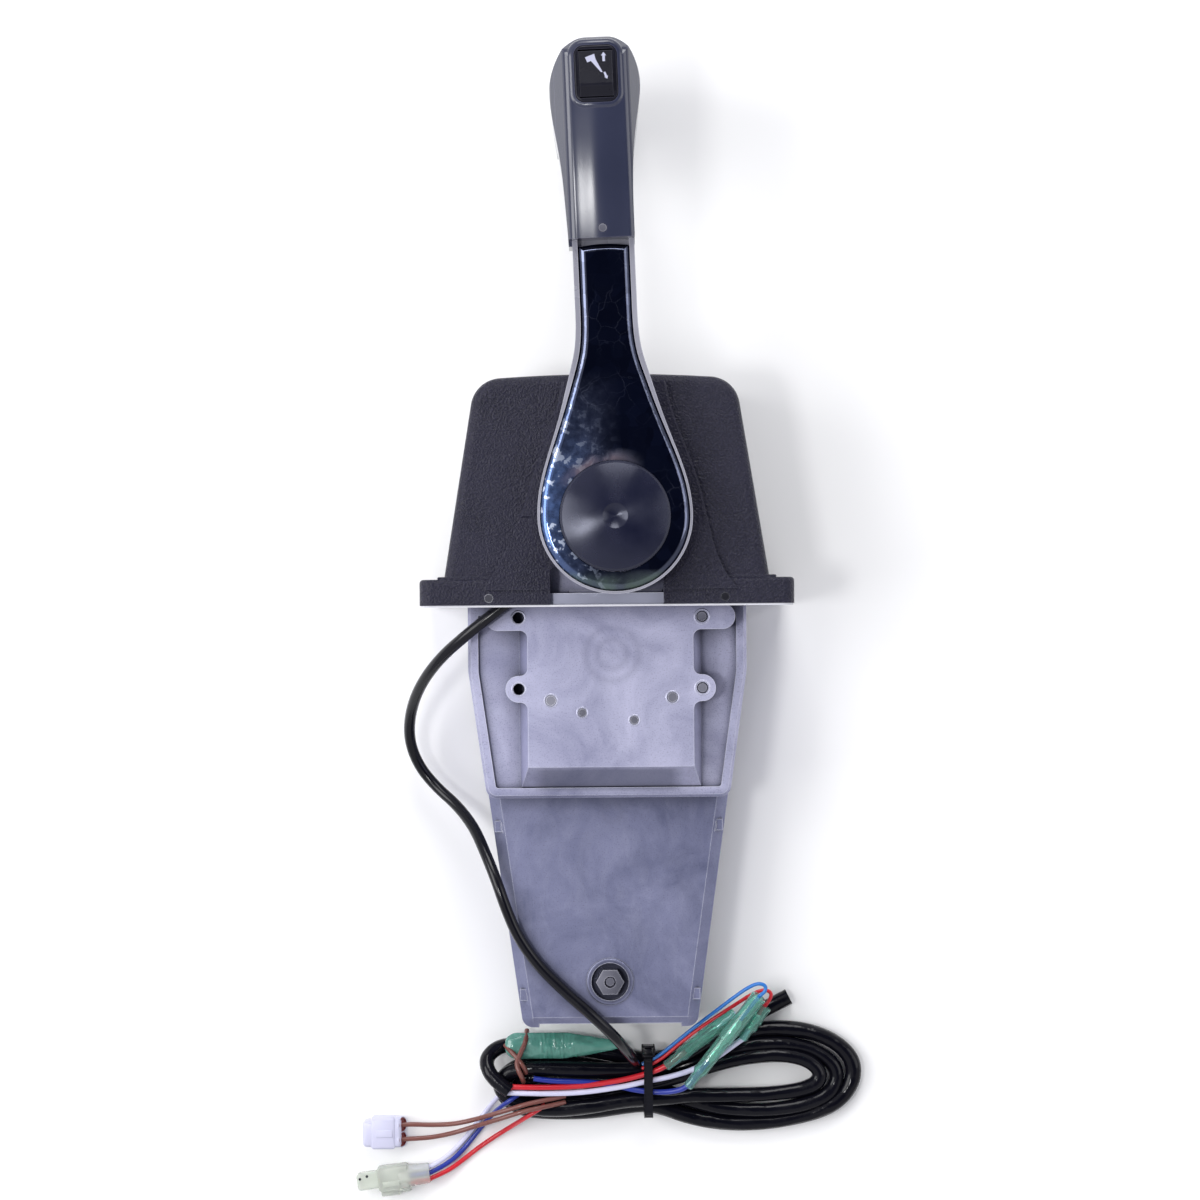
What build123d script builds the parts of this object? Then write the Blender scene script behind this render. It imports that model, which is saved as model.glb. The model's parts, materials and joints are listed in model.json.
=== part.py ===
from build123d import *
import os
from math import acos, cos, degrees, pi, radians, sin, tan

# A top-mounted boat throttle and shift control, in millimetres.
# X runs fore and aft, +Y points up from the console to the grip, and Z is the lever's
# swing axis, with +Z on the lever's side. The origin is the middle of the console face.

# ---- Fits ----
FIT = 0.05  # radial clearance of a pin, shaft or bush in its bore
GAP = 0.3  # clearance between pieces that move past each other
CLEARANCE = 0.2  # radial clearance of a screw in a plain hole
SEAT = 0.05  # clearance of a piece in its pocket
PAST = 1.0  # how far a cutting shape runs past what it cuts
SOFT = 2.0  # rounding of small outside edges

# ---- Cover and console plate ----
COVER_WALL = 3.0
COVER_HEIGHT = 117.0
COVER_CROWN = 2.7  # rise of the roof in the middle
COVER_FOOT_HALF = 86.5
COVER_ROOF_HALF = 67.7
COVER_CORNER = 16.0
COVER_EDGE = 5.0
COVER_FOOT_DEPTH = 48.0  # half-depth at the console
COVER_ROOF_DEPTH = 44.0  # half-depth at the roof
FLANGE_HALF = 97.0
FLANGE_DEPTH = 50.0
FLANGE_HEIGHT = 13.5
FLANGE_WALL = 5.0
FLANGE_ROOF = 3.0
FLANGE_CORNER = 6.0
PANEL_FRONT = 52.0  # face of the raised panel behind the lever
PANEL_STEP = 0.9  # from that face down to the skirt that flares towards the flange
PANEL_RING = 44.5  # radius of the panel round the hub
# Half-widths of the raised panel and their heights, to the right and to the left of the hub
PANEL_RIGHT = ((26, 121), (31, 97), (43, 64), (47.5, 45), (51, 30), (63, 8))
PANEL_LEFT = ((26, 121), (31, 97), (43, 64), (49, 45), (55.5, 30), (68, 8))
PLINTH_HEIGHT = 1.3
PLINTH_MARGIN = 1.0
SLOT_HALF = 29.3
SLOT_HEIGHT = 19.5
SLOT_CORNER = 3.0
KEYHOLE_RADIUS = 13.0
GASKET = 1.0
GASKET_MARGIN = 0.6
DECK_THICK = 6.0
CONSOLE_HOLE_RADIUS = 2.5
CONSOLE_BOSS_RADIUS = 5.0
CONSOLE_HOLE_X = FLANGE_HALF - FLANGE_WALL - GAP - CONSOLE_BOSS_RADIUS
CONSOLE_HOLE_Z = FLANGE_DEPTH - 16.0
CONSOLE_BOSS_HEIGHT = 10.0
COVER_SCREW_X = 61.0
COVER_SCREW_Y = 3.6
COVER_SCREW_RADIUS = 1.5
COVER_SCREW_HEAD = 2.3
COVER_SCREW_HEAD_HEIGHT = 1.3
COVER_SCREW_SINK = 1.5
COVER_SCREW_LENGTH = 10.0
DECK_SCREW_X = 62.0
DECK_SCREW_FRONT_Z = 2.0
DECK_SCREW_BACK_Z = -27.0
DECK_SCREW_RADIUS = 3.0
DECK_SCREW_HEAD = 5.0
DECK_SCREW_HEAD_HEIGHT = 3.5
DECK_SCREW_LENGTH = 16.0
DECK_BOSS_RADIUS = 6.5

# ---- Hub ----
HUB_X = 4.5
HUB_Y = 45.0
LEAN = 2.0  # degrees that the lever leans at rest

# ---- Cast body ----
WALL = 4.0
BODY_HALF = 73.5
BODY_SHOULDER = -35.0  # where the sides start to taper
BODY_FOOT = -226.0
BODY_FOOT_HALF = 46.5
BODY_CORNER = 6.0
BODY_BACK = -40.0
SPLIT = -12.0  # parting plane of the two castings
PANEL_FACE = 0.0  # front of the lower panel
PANEL_CHAMFER = 6.0
LEDGE_FACE = 13.0
BORDER_FACE = 16.0
BORDER_WIDTH = 5.5
LEDGE_FOOT = -102.0
PLATE_X = 1.6  # the raised plate sits a little right of the middle
PLATE_FACE = 30.0
PLATE_HALF = 43.4
PLATE_FOOT = -85.0
PLATE_FLANK = 4.6  # width of the sloping sides
PLATE_APRON = 13.0  # length of the slope under the foot
PLATE_BLEND = 4.0
EAR_HALF = 65.4
EAR_DEPTH = 13.4
LUG_RADIUS = 7.0
HOLE_X = 48.0
HOLE_TOP = -6.7
HOLE_LOW = -44.0
HOLE_RADIUS = 3.0
HOLE_DEPTH = 16.0
CABLE_MOUTH_HALF = 38.0
# x, y and radius of each dowel pin in the plate
DOWEL_PLACES = ((-29.7, -50.1, 2.6), (-13.3, -56.5, 2.1), (13.8, -60.6, 2.1), (33.9, -48.8, 2.5))
DOWEL_BACK = 21.0
DOWEL_PROUD = 0.4

# ---- Tower ----
TOWER_HALF = 42.0
TOWER_STEP = 28.0
TOWER_NECK = 26.0
TOWER_FRONT = 34.0
TOWER_BACK = -36.0
TOWER_LEDGES = ((24.0, 7.5, 36.0), (28.0, 3.5, 38.0))  # half-width, height and face of each step
BUSH_BORE_OUTER = 12.0
BUSH_FRONT = (27.0, 38.0)
BUSH_BACK = (-36.4, -25.0)
BUSH_BOSS_RADIUS = 15.5
BUSH_FLANGE = 2.0  # how far a bush's flange reaches past its body
BUSH_FLANGE_FRONT = 1.5
BUSH_FLANGE_BACK = 0.9

# ---- Shaft, pinion and sectors ----
SHAFT_RADIUS = 9.0
SHAFT_BACK = -41.0
CIRCLIP_THICK = 1.2
CIRCLIP_WIDTH = 3.0
CIRCLIP_DEPTH = 1.0  # depth of its groove
CIRCLIP_INSET = 1.4  # from the shaft's end to the groove
CIRCLIP_OPENING = 4.0
MODULE = 2.0
PINION_TEETH = 17
SECTOR_TEETH = 34
SECTOR_TEETH_CUT = 10
PINION_HALF_WIDTH = 16.0
PRESSURE_ANGLE = 20.0
DEDENDUM = 1.25  # depth of a tooth under the pitch circle, in modules
TOOTH_PLAY = 0.3  # backlash of a tooth, measured along the pitch circle
DETENT_RADIUS = 16.0
DETENT_Z = (17.0, 25.0)
DETENT_STEP = 30.0  # degrees from neutral to each gear
NOTCH_RISE = 1.2  # how far the notch's centre lies outside the detent wheel
PIVOT_RADIUS = 6.0
SECTOR_THICK = 6.0
SECTOR_INNER = 8.0
SECTOR_HUB_RADIUS = 10.0
SECTOR_HUB_END = 17.7
ARM_LENGTH = 44.0
ARM_END_RADIUS = 5.5
CABLE_PIN_RADIUS = 3.0
CABLE_PIN_REACH = 5.5

# ---- Detent and friction ----
PLUNGER_RADIUS = 4.0
PLUNGER_LENGTH = 12.0
DETENT_BOSS_RADIUS = 8.0
DETENT_BOSS_TOP = 86.0
PLUG_RADIUS = 5.0
PLUG_LENGTH = 8.0
FRICTION_Z = -20.5
FRICTION_RADIUS = 3.5
SHOE_LENGTH = 6.0
FRICTION_BOSS_RADIUS = 6.5
FRICTION_BOSS_END = -34.0

# ---- Case screws, clamp and switch ----
CASE_SCREW_RADIUS = 2.5
CASE_SCREW_HEAD = 4.5
CASE_HEAD_DEPTH = 3.5
CASE_BOSS_RADIUS = 6.0
CASE_SCREW_PLACES = ((63.0, -24.0, 7.0), (51.5, -118.0, -2.5), (38.0, -208.0, -2.5))
CLAMP_Y = -201.0
CLAMP_BOLT_RADIUS = 3.0
CLAMP_HEX = 13.0  # across flats
CLAMP_HEAD_BACK = -50.0
CLAMP_HEAD_HEIGHT = 5.3
CLAMP_BOSS_RADIUS = 8.5
CLAMP_RECESS_RADIUS = 10.0
CLAMP_RECESS_DEPTH = 3.0
CLAMP_RING_RADIUS = 12.5
CLAMP_RING_HEIGHT = 1.2
CLAMP_NUT_HEIGHT = 6.5
CLAMP_BOLT_FRONT = 1.5
CLAMP_PLATE_Z = (-22.0, -18.0)
CLAMP_PLATE_HALF = 30.0
CLAMP_PLATE_LENGTH = 24.0
CLAMP_GROOVE_X = 17.0
CLAMP_GROOVE_RADIUS = 5.0
SWITCH_X = (-60.0, -40.0)
SWITCH_Y = (-58.0, -47.0)
SWITCH_DEPTH = 12.0

# ---- Lever arm ----
ARM_BACK = 54.0
ARM_FRONT = 70.0
ARM_HUB_RADIUS = 39.6
ARM_NECK_HALF = 15.8
ARM_TANG_HALF = 9.5
TANG_Z = (56.0, 66.0)
RIM_HUB = 1.3
RIM_NECK = 2.6
TRIM_END = 139.0
TRIM_FLOOR = 64.0
TRIM_FACE = 71.5
TRIM_EDGE = 4.0
ARM_RIB_WALL = 4.0
ARM_RIB = 3.0
ARM_RIB_HEIGHTS = (45.0, 72.0, 99.0)
ARM_POCKET_FLOOR = 60.0
ARM_POCKET_END = 130.0
ARM_SPINE_HALF = 6.0
ARM_BOSS_RADIUS = 17.0
ROD_RADIUS = 2.0
ROD_Z = 57.4
ROD_START = 26.0

# ---- Hub button ----
BUTTON_RADIUS = 28.2
BUTTON_WALL = 3.0
BUTTON_BACK = 64.4
BUTTON_EDGE = 75.0
BUTTON_PEAK = 78.5
BUTTON_DIMPLE = 6.4
DIMPLE_DEPTH = 1.6
BUTTON_LIP = 1.2
HUB_FLOOR = 60.0
HUB_BOLT_RADIUS = 5.0
HUB_BOLT_HEX = 16.0
HUB_BOLT_HEAD = 6.4
HUB_BOLT_LENGTH = 22.0
HUB_WASHER = 1.5
HUB_WASHER_RADIUS = 11.2
BUTTON_SPRING_RADIUS = 16.0
BUTTON_SPRING_WIRE = 1.6

# ---- Grip ----
GRIP_START = 138.0
PANEL_START = 141.0
GRIP_TOP = 245.5
GRIP_FACE = 77.0
GRIP_SPLIT = 66.0
GRIP_NECK_BACK = 50.0
GRIP_NOSE = 12.0  # how far the top slopes back at the front
PALM_BACK = -28.0
PALM_THICK = 52.5  # from the palm rest's underside to the top
PALM_UNDER = GRIP_TOP - PALM_THICK
PALM_THROAT = 22.0  # depth of the slope between the neck's back and the palm rest
PALM_SLOPE = 26.0  # length of the same slope along the lever
PALM_TAPER = 3.0
GRIP_PANEL_HALF = 15.8
GRIP_FLANK = 16.0  # depth over which the flanks flare
GRIP_FLARE = 8.5
ARM_TANG_END = PALM_UNDER - 9.0
ROD_END = PALM_UNDER + 4.0
GRIP_SCREW_U = 146.0
GRIP_SCREW_RADIUS = 1.5
GRIP_SCREW_HEAD = 2.0
GRIP_SCREW_SINK = 1.5
GRIP_SCREW_LENGTH = 16.0
# Half-widths of the grip and their heights on the lever
GRIP_RIGHT = ((16.0, 138), (16.2, 160), (17.0, 179), (18.6, 194), (21.4, 211), (22.3, 222), (20.2, 232),
              (16.0, 239), (10.5, 243.6))
GRIP_LEFT = ((17.6, 138), (18.6, 160), (19.9, 179), (22.0, 195), (24.0, 211), (24.0, 222), (20.6, 232),
             (15.4, 239), (9.4, 243.6))
SWITCH_U = 224.0
BEZEL_WIDTH = 22.0
BEZEL_LENGTH = 29.0
BEZEL_CORNER = 5.0
COLLAR_WIDTH = 3.6  # raised rim of the grip round the bezel
COLLAR_RISE = 0.7
BEZEL_BACK = 64.0
BEZEL_FACE = 78.0
ROCKER_WIDTH = 17.0
ROCKER_RADIUS = 12.0
ROCKER_PIVOT_Z = 74.5
ROCKER_PIN_RADIUS = 1.5
ROCKER_BACK = 68.0
ROCKER_RIDGE = (-6.5, -5.3)  # place of the ridge under the pivot
ROCKER_RIDGE_RISE = 2.4
SWITCH_BLOCK_BACK = 52.0
SWITCH_BLOCK_INSET = 3.0
TRIGGER_TRAVEL = 6.0
TRIGGER_HALF = 8.0
TRIGGER_Z = (-10.0, 26.0)
TRIGGER_PAD = (PALM_UNDER - 16.0, PALM_UNDER - 8.0)
TRIGGER_STEM_Z = (-2.0, 20.0)
TRIGGER_STEM_TOP = PALM_UNDER + 10.0
TRIGGER_LINK_HALF = 2.5


# ---- Lead ----
LEAD_X = (-58.5, -38.5)
LEAD_Z = 36.0
LEAD_RADIUS = 3.0
LEAD_HOLE_HALF = 5.5
LEAD_PLACE = (-53.5, 0.0)
LEAD_SLOPE = 36.9  # degrees below the horizontal at which the lead leaves

# ---- Harness ----
FLOOR = CLAMP_HEAD_BACK  # what the control lies on
HANK_TOP = -30.0
HANK_OUTLINE = (
    (-71.5, -252), (-66, -237), (-45, -232), (-15, -236), (20, -247), (55, -236), (90, -229),
    (120, -233), (137, -257), (128, -276), (100, -288), (60, -288), (20, -277.5), (-20, -283),
    (-50, -281), (-62, -268),
)
TIE_X = (18.0, 22.8)
TIE_Y = (-279.5, -244.5)
TIE_TOP = -25.0
TIE_THICK = 1.3
WIRE_RADIUS = 1.3
FINE_WIRE_RADIUS = 1.0
LEAD_WIRE_RADIUS = 1.5
SLEEVE_RADIUS = 4.4
SLEEVES = (
    ((29.9, -250.8, -25.0), (67.6, -222.2, -25.0)),
    ((41.7, -261.6, -23.0), (80.1, -211.4, -13.0)),
    ((71.4, -236.2, -24.0), (83.3, -217.9, -24.0)),
)
WHITE_PLUG = ((-136.0, -112.5), (-297.0, -279.0), (-50.0, -38.5))
LATCH_X = (-128.0, -114.5)
LATCH_Y = (-291.0, -285.0)
LATCH_HEIGHT = 1.5
SEAL_RADIUS = 3.6
SEAL_PLACES = ((-284.1, -44.3), (-292.1, -44.3))
SEAL_END = -109.5
CLEAR_PLACE = (-119.5, -312.5)
CLEAR_TURN = 7.0
CLEAR_TOP = -38.0

LEAD_ROUTE = (
    (-46.3, 5.4, 36), (-61.5, -6, 36), (-75, -16.5, 31), (-88, -27.5, 20), (-99, -41, 3),
    (-106, -56, -15), (-108, -72, -27), (-103, -87, -32), (-93, -99, -31), (-82, -108, -25),
    (-72.5, -119, -14), (-66, -132, -2), (-60, -146, 5), (-55, -161, 6), (-48.5, -177, 4.5),
    (-38, -192, 3.6), (-24, -206, 3.8), (-10, -218, 5.5), (1.5, -229.5, 1), (8.5, -239.5, -11),
    (12.5, -247, -25), (14.5, -252, -37),
)
BROWN_A_ROUTE = (
    (-109.5, -284.1, -44.3), (-98, -285, -46.5), (-86, -284.6, -46.5), (-75, -281.5, -42),
    (-66, -278, -36), (-56.5, -274.5, -30), (-46, -271, -27.6), (-35, -269.1, -28.5), (-25, -267.8, -33.4),
)
BROWN_B_ROUTE = (
    (-109.5, -292.1, -44.3), (-98, -291.8, -46.5), (-86, -289.4, -46.5), (-75, -285.2, -42),
    (-66, -281.7, -36), (-56.5, -278, -30), (-46, -274.5, -27.6), (-35, -272.6, -28.5), (-25, -271.2, -33.4),
)
BLUE_ROUTE = (
    (-99.3, -310.6, -44), (-90, -306.4, -46), (-82.5, -300.2, -48.2), (-76, -292.5, -48.6),
    (-70, -285, -48.2), (-64.5, -278.5, -44), (-59.5, -273, -36), (-53.5, -268.6, -31),
    (-46, -263.6, -34.4),
)
WHITE_ROUTE = (
    (-99.3, -307.4, -44), (-92, -303.6, -46), (-85, -297.8, -48.2), (-78.4, -290.4, -48.6),
    (-72.4, -282.8, -48.6), (-66.5, -275, -47), (-60, -267, -43),
)
RED_ROUTE = (
    (-99.3, -313.8, -44), (-90, -310.4, -46), (-81.5, -304.6, -48.2), (-73, -298, -48.6),
    (-64, -292, -48.6), (-56, -286.6, -45), (-49.5, -281.5, -37.5), (-43.5, -276.8, -30.5),
    (-36, -272.5, -32),
)
RED_LEAD_ROUTE = (
    (-54.5, -256.5, -33.5), (-46, -260.4, -30), (-34, -262.2, -28.5), (-18, -262.1, -28.3),
    (-4, -260.4, -28.3), (9, -258.2, -28.3), (22.6, -254.4, -28.2), (29.9, -250.8, -25),
)
WHITE_LEAD_ROUTE = (
    (-56, -260, -34), (-46, -263.8, -30), (-34, -265.6, -28.5), (-18, -265.5, -28.3),
    (-4, -263.9, -28.3), (9, -261.8, -28.3), (21, -259.2, -28.3), (33, -257, -28.3),
    (46, -253, -28.3), (58, -246.5, -28), (66.5, -240, -26), (71.4, -236.2, -24),
)
BLUE_LEAD_ROUTE = (
    (-42, -257.5, -33), (-33, -258.9, -31), (-21, -259.4, -31.3), (-9, -260, -31.6),
    (3, -262, -31.6), (14, -264.6, -30.5), (25, -265.6, -28.8), (35, -264.6, -26), (41.7, -261.6, -23),
)
SKY_ROUTE = (
    (17, -250, -28.4), (25, -246.6, -27.6), (35.5, -237.6, -24.6), (46, -228.6, -21), (57.5, -219.6, -17.5),
    (67, -212, -14.5), (74.5, -207.4, -12.6), (80.5, -204.8, -12.4), (82.8, -207.9, -12.7),
    (80.1, -211.4, -13),
)
FINE_RED_ROUTE = (
    (17, -252.4, -28.6), (26.5, -248.4, -27.6), (36, -239.6, -24.8), (46.5, -231, -22.5), (57, -223.6, -21),
    (67.5, -217, -21), (77, -211.8, -21.4), (84.2, -209.6, -22.4), (86.1, -213.6, -23.4),
    (83.3, -217.9, -24),
)


# ---- Helpers ----
def block(x, y, z):
    """Box between two values of x, of y and of z."""
    middle = Pos((x[0] + x[1]) / 2, (y[0] + y[1]) / 2, (z[0] + z[1]) / 2)
    return middle * Box(abs(x[1] - x[0]), abs(y[1] - y[0]), abs(z[1] - z[0]))


def post(x, y, z, radius):
    """Cylinder along Z between two values of z."""
    return Pos(x, y, (z[0] + z[1]) / 2) * Cylinder(radius, abs(z[1] - z[0]))


def post_y(x, y, z, radius):
    """Cylinder along Y between two values of y."""
    return Pos(x, (y[0] + y[1]) / 2, z) * Rot(90, 0, 0) * Cylinder(radius, abs(y[1] - y[0]))


def post_x(x, y, z, radius):
    """Cylinder along X between two values of x."""
    return Pos((x[0] + x[1]) / 2, y, z) * Rot(0, 90, 0) * Cylinder(radius, abs(x[1] - x[0]))


def slab(face, z):
    """Face in the XY plane, extruded between two values of z."""
    return extrude(Pos(0, 0, z[0]) * face, amount=z[1] - z[0])


def outline(points, radii=None):
    """Closed outline through points, with the corner at each key of radii rounded."""
    face = make_face(Polyline(*points, close=True))
    for place, radius in (radii or {}).items():
        corner = face.vertices().sort_by_distance((points[place][0], points[place][1], 0))[0]
        face = fillet(corner, radius)
    return face


def hexagon(x, y, z, across):
    """Hexagonal prism along Z with a given width across its flats."""
    return slab(Pos(x, y) * RegularPolygon(across / 2, 6, major_radius=False), z)


def coil(radius, wire, length, turns):
    """Helical spring along Z that starts at the origin and ends at length."""
    path = Pos(0, 0, wire / 2) * Helix((length - wire) / turns, length - wire, radius)
    section = Plane(origin=path @ 0, z_dir=path % 0) * Circle(wire / 2)
    return sweep(section, path=path, is_frenet=True)


def on_lever(shape):
    """Moves a shape from the lever's own axes, hub at the origin, to the hub."""
    return Pos(HUB_X, HUB_Y, 0) * Rot(0, 0, LEAN) * shape


# ---- Cover and console plate ----
def cover_dome(inset):
    """Tapered housing with rounded shoulders and a crowned roof."""
    foot = COVER_FOOT_HALF - inset
    roof = COVER_ROOF_HALF - inset
    top = COVER_HEIGHT - inset
    front = make_face(
        Curve()
        + [
            Line((-roof, top), (-foot, 0)),
            Line((-foot, 0), (foot, 0)),
            Line((foot, 0), (roof, top)),
            ThreePointArc((roof, top), (0, top + COVER_CROWN), (-roof, top)),
        ]
    )
    shoulders = front.vertices().group_by(Axis.Y)[-1]
    front = fillet(shoulders, COVER_CORNER - inset)
    foot_depth = COVER_FOOT_DEPTH - inset
    roof_depth = COVER_ROOF_DEPTH - inset
    high = COVER_HEIGHT + COVER_CROWN + 1
    side = outline([(0, -foot_depth), (high, -roof_depth), (high, roof_depth), (0, foot_depth)])
    side = extrude(Plane.YZ * side, amount=COVER_FOOT_HALF + 1, both=True)
    dome = slab(front, (-COVER_FOOT_DEPTH, COVER_FOOT_DEPTH)) & side
    rims = dome.edges().filter_by(lambda e: abs(e.center().Z) > roof_depth - 1 and e.center().Y > 1)
    return fillet(rims, COVER_EDGE - min(inset, COVER_EDGE - 2))


def raised_panel():
    """Panel that stands out of the cover's front behind the lever, on a flared skirt."""
    back = COVER_ROOF_DEPTH - COVER_WALL - 1
    right = Spline(*[(HUB_X + x, y) for x, y in PANEL_RIGHT])
    left = Spline(*[(HUB_X - x, y) for x, y in PANEL_LEFT])
    face = make_face(Curve() + [right, left, Line(right @ 0, left @ 0), Line(right @ 1, left @ 1)])
    skirt = slab(face, (back, PANEL_FRONT - PANEL_STEP))
    above = Pos(HUB_X, HUB_Y + COVER_HEIGHT / 2) * Rectangle(2 * COVER_ROOF_HALF, COVER_HEIGHT)
    ring = Pos(HUB_X, HUB_Y) * Circle(PANEL_RING)
    raised = slab((face & above) + ring, (back, PANEL_FRONT))
    return skirt + chamfer(raised.edges().group_by(Axis.Z)[-1], PANEL_STEP)


def cover_slot():
    """Slot that lets the cover down over the tower's foot and the shaft."""
    z = (COVER_ROOF_DEPTH - COVER_WALL - 8, PANEL_FRONT + 4)
    points = [(-SLOT_HALF, -1), (SLOT_HALF, -1), (SLOT_HALF, SLOT_HEIGHT), (-SLOT_HALF, SLOT_HEIGHT)]
    wide = slab(outline(points, {2: SLOT_CORNER, 3: SLOT_CORNER}), z)
    narrow = block((HUB_X - KEYHOLE_RADIUS, HUB_X + KEYHOLE_RADIUS), (0, HUB_Y), z)
    return wide + narrow + post(HUB_X, HUB_Y, z, KEYHOLE_RADIUS)


def cover():
    flange = block((-FLANGE_HALF, FLANGE_HALF), (0, FLANGE_HEIGHT), (-FLANGE_DEPTH, FLANGE_DEPTH))
    flange = fillet(flange.edges().filter_by(Axis.Y), FLANGE_CORNER)
    flange = fillet(flange.edges().group_by(Axis.Y)[-1], SOFT)
    inner_x = FLANGE_HALF - FLANGE_WALL
    inner_z = FLANGE_DEPTH - FLANGE_WALL
    room = block((-inner_x, inner_x), (-PAST, FLANGE_HEIGHT - FLANGE_ROOF), (-inner_z, inner_z))
    room = fillet(room.edges().filter_by(Axis.Y), SOFT)
    top = block((-FLANGE_HALF, FLANGE_HALF), (-1, COVER_HEIGHT + 10), (-FLANGE_DEPTH, PANEL_FRONT))
    plinth_half = COVER_FOOT_HALF + PLINTH_MARGIN
    plinth_y = (FLANGE_HEIGHT - 1, FLANGE_HEIGHT + PLINTH_HEIGHT)
    plinth = block((-plinth_half, plinth_half), plinth_y, (-COVER_FOOT_DEPTH, COVER_FOOT_DEPTH))
    plinth = fillet(plinth.edges().group_by(Axis.Y)[-1], PLINTH_HEIGHT / 2)
    panel = raised_panel() & panel_limit()
    shape = cover_dome(0) + flange + plinth + panel
    shape -= cover_dome(COVER_WALL)
    shape -= room
    shape -= cover_slot()
    for x in (-COVER_SCREW_X, COVER_SCREW_X):
        for side in (-1, 1):
            face = side * FLANGE_DEPTH
            through = (face - side * (FLANGE_WALL + PAST), face + side * PAST)
            shape -= post(x, COVER_SCREW_Y, through, COVER_SCREW_RADIUS + CLEARANCE)
            sunk = (face - side * COVER_SCREW_SINK, face + side * PAST)
            shape -= post(x, COVER_SCREW_Y, sunk, COVER_SCREW_HEAD + CLEARANCE)
    return shape & top


def panel_limit():
    """The dome's front outline as a prism, a little inside its edge."""
    margin = 2.0
    foot = COVER_FOOT_HALF - margin
    roof = COVER_ROOF_HALF - margin
    face = outline([(-foot, 0), (foot, 0), (roof, COVER_HEIGHT - margin), (-roof, COVER_HEIGHT - margin)])
    return slab(face, (0, PANEL_FRONT + 1))


def cover_screws():
    screws = []
    for x in (-COVER_SCREW_X, COVER_SCREW_X):
        for side in (-1, 1):
            face = side * (FLANGE_DEPTH - COVER_SCREW_SINK)
            head_z = (face, face + side * COVER_SCREW_HEAD_HEIGHT)
            head = post(x, COVER_SCREW_Y, head_z, COVER_SCREW_HEAD)
            shank = post(x, COVER_SCREW_Y, (face - side * COVER_SCREW_LENGTH, face), COVER_SCREW_RADIUS)
            screws.append(head + shank)
    return screws


def flange_gasket():
    half = FLANGE_HALF - GASKET_MARGIN
    depth = FLANGE_DEPTH - GASKET_MARGIN
    sheet = block((-half, half), (-GASKET, 0), (-depth, depth))
    sheet = fillet(sheet.edges().filter_by(Axis.Y), FLANGE_CORNER - GASKET_MARGIN)
    window_x = (-BODY_HALF - GAP, BODY_HALF + GAP)
    sheet -= block(window_x, (-2, 1), (BODY_BACK - GAP, PLATE_FACE + GAP))
    sheet -= block((LEAD_X[0] - 6, LEAD_X[1] + 2), (-2, 1), (0, LEAD_Z + LEAD_HOLE_HALF))
    for x in (-CONSOLE_HOLE_X, CONSOLE_HOLE_X):
        for z in (-CONSOLE_HOLE_Z, CONSOLE_HOLE_Z):
            sheet -= post_y(x, (-2, 1), z, CONSOLE_HOLE_RADIUS + CLEARANCE)
    return sheet


def lead_bore(radius, length):
    """Cylinder along the lead's way out through the deck."""
    turn = Rot(0, 0, LEAD_SLOPE) * Rot(0, 90, 0)
    return Pos(LEAD_PLACE[0], LEAD_PLACE[1], LEAD_Z) * turn * Cylinder(radius, length)


def lead_window(inset):
    z = (LEAD_Z - LEAD_HOLE_HALF + inset, LEAD_Z + LEAD_HOLE_HALF - inset)
    window = block((LEAD_X[0] + inset, LEAD_X[1] - inset), (0, DECK_THICK), z)
    return fillet(window.edges().filter_by(Axis.Y), LEAD_HOLE_HALF - 1)


def cable_grommet():
    return lead_window(SEAT) - lead_bore(LEAD_RADIUS + FIT, 60)


def mounting_deck():
    half = FLANGE_HALF - FLANGE_WALL - GAP
    depth = FLANGE_DEPTH - FLANGE_WALL - GAP
    plate = block((-half, half), (0, DECK_THICK), (-depth, depth))
    plate = fillet(plate.edges().filter_by(Axis.Y), SOFT)
    for x in (-CONSOLE_HOLE_X, CONSOLE_HOLE_X):
        for z in (-CONSOLE_HOLE_Z, CONSOLE_HOLE_Z):
            plate += post_y(x, (0, CONSOLE_BOSS_HEIGHT), z, CONSOLE_BOSS_RADIUS)
    window = (TOWER_BACK - GAP, TOWER_FRONT + GAP)
    open_x = (HUB_X - TOWER_HALF - GAP, HUB_X + TOWER_HALF + GAP)
    plate -= block(open_x, (-1, DECK_THICK + 1), window)
    for half, height, face in TOWER_LEDGES:
        ledge_x = (HUB_X - half - GAP, HUB_X + half + GAP)
        plate -= block(ledge_x, (-1, DECK_THICK + 1), (0, face + GAP))
    for x in (-CONSOLE_HOLE_X, CONSOLE_HOLE_X):
        for z in (-CONSOLE_HOLE_Z, CONSOLE_HOLE_Z):
            plate -= post_y(x, (-1, CONSOLE_BOSS_HEIGHT + 1), z, CONSOLE_HOLE_RADIUS)
    for x in (-DECK_SCREW_X, DECK_SCREW_X):
        for z in (DECK_SCREW_FRONT_Z, DECK_SCREW_BACK_Z):
            plate -= post_y(x, (-PAST, DECK_THICK + PAST), z, DECK_SCREW_RADIUS + CLEARANCE)
    for x in (-COVER_SCREW_X, COVER_SCREW_X):
        for side in (-1, 1):
            inner = side * (FLANGE_DEPTH - COVER_SCREW_LENGTH - 2.5)
            outer = side * (FLANGE_DEPTH + 1)
            plate -= post(x, COVER_SCREW_Y, (inner, outer), COVER_SCREW_RADIUS + FIT)
    return plate - lead_window(0)


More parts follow.
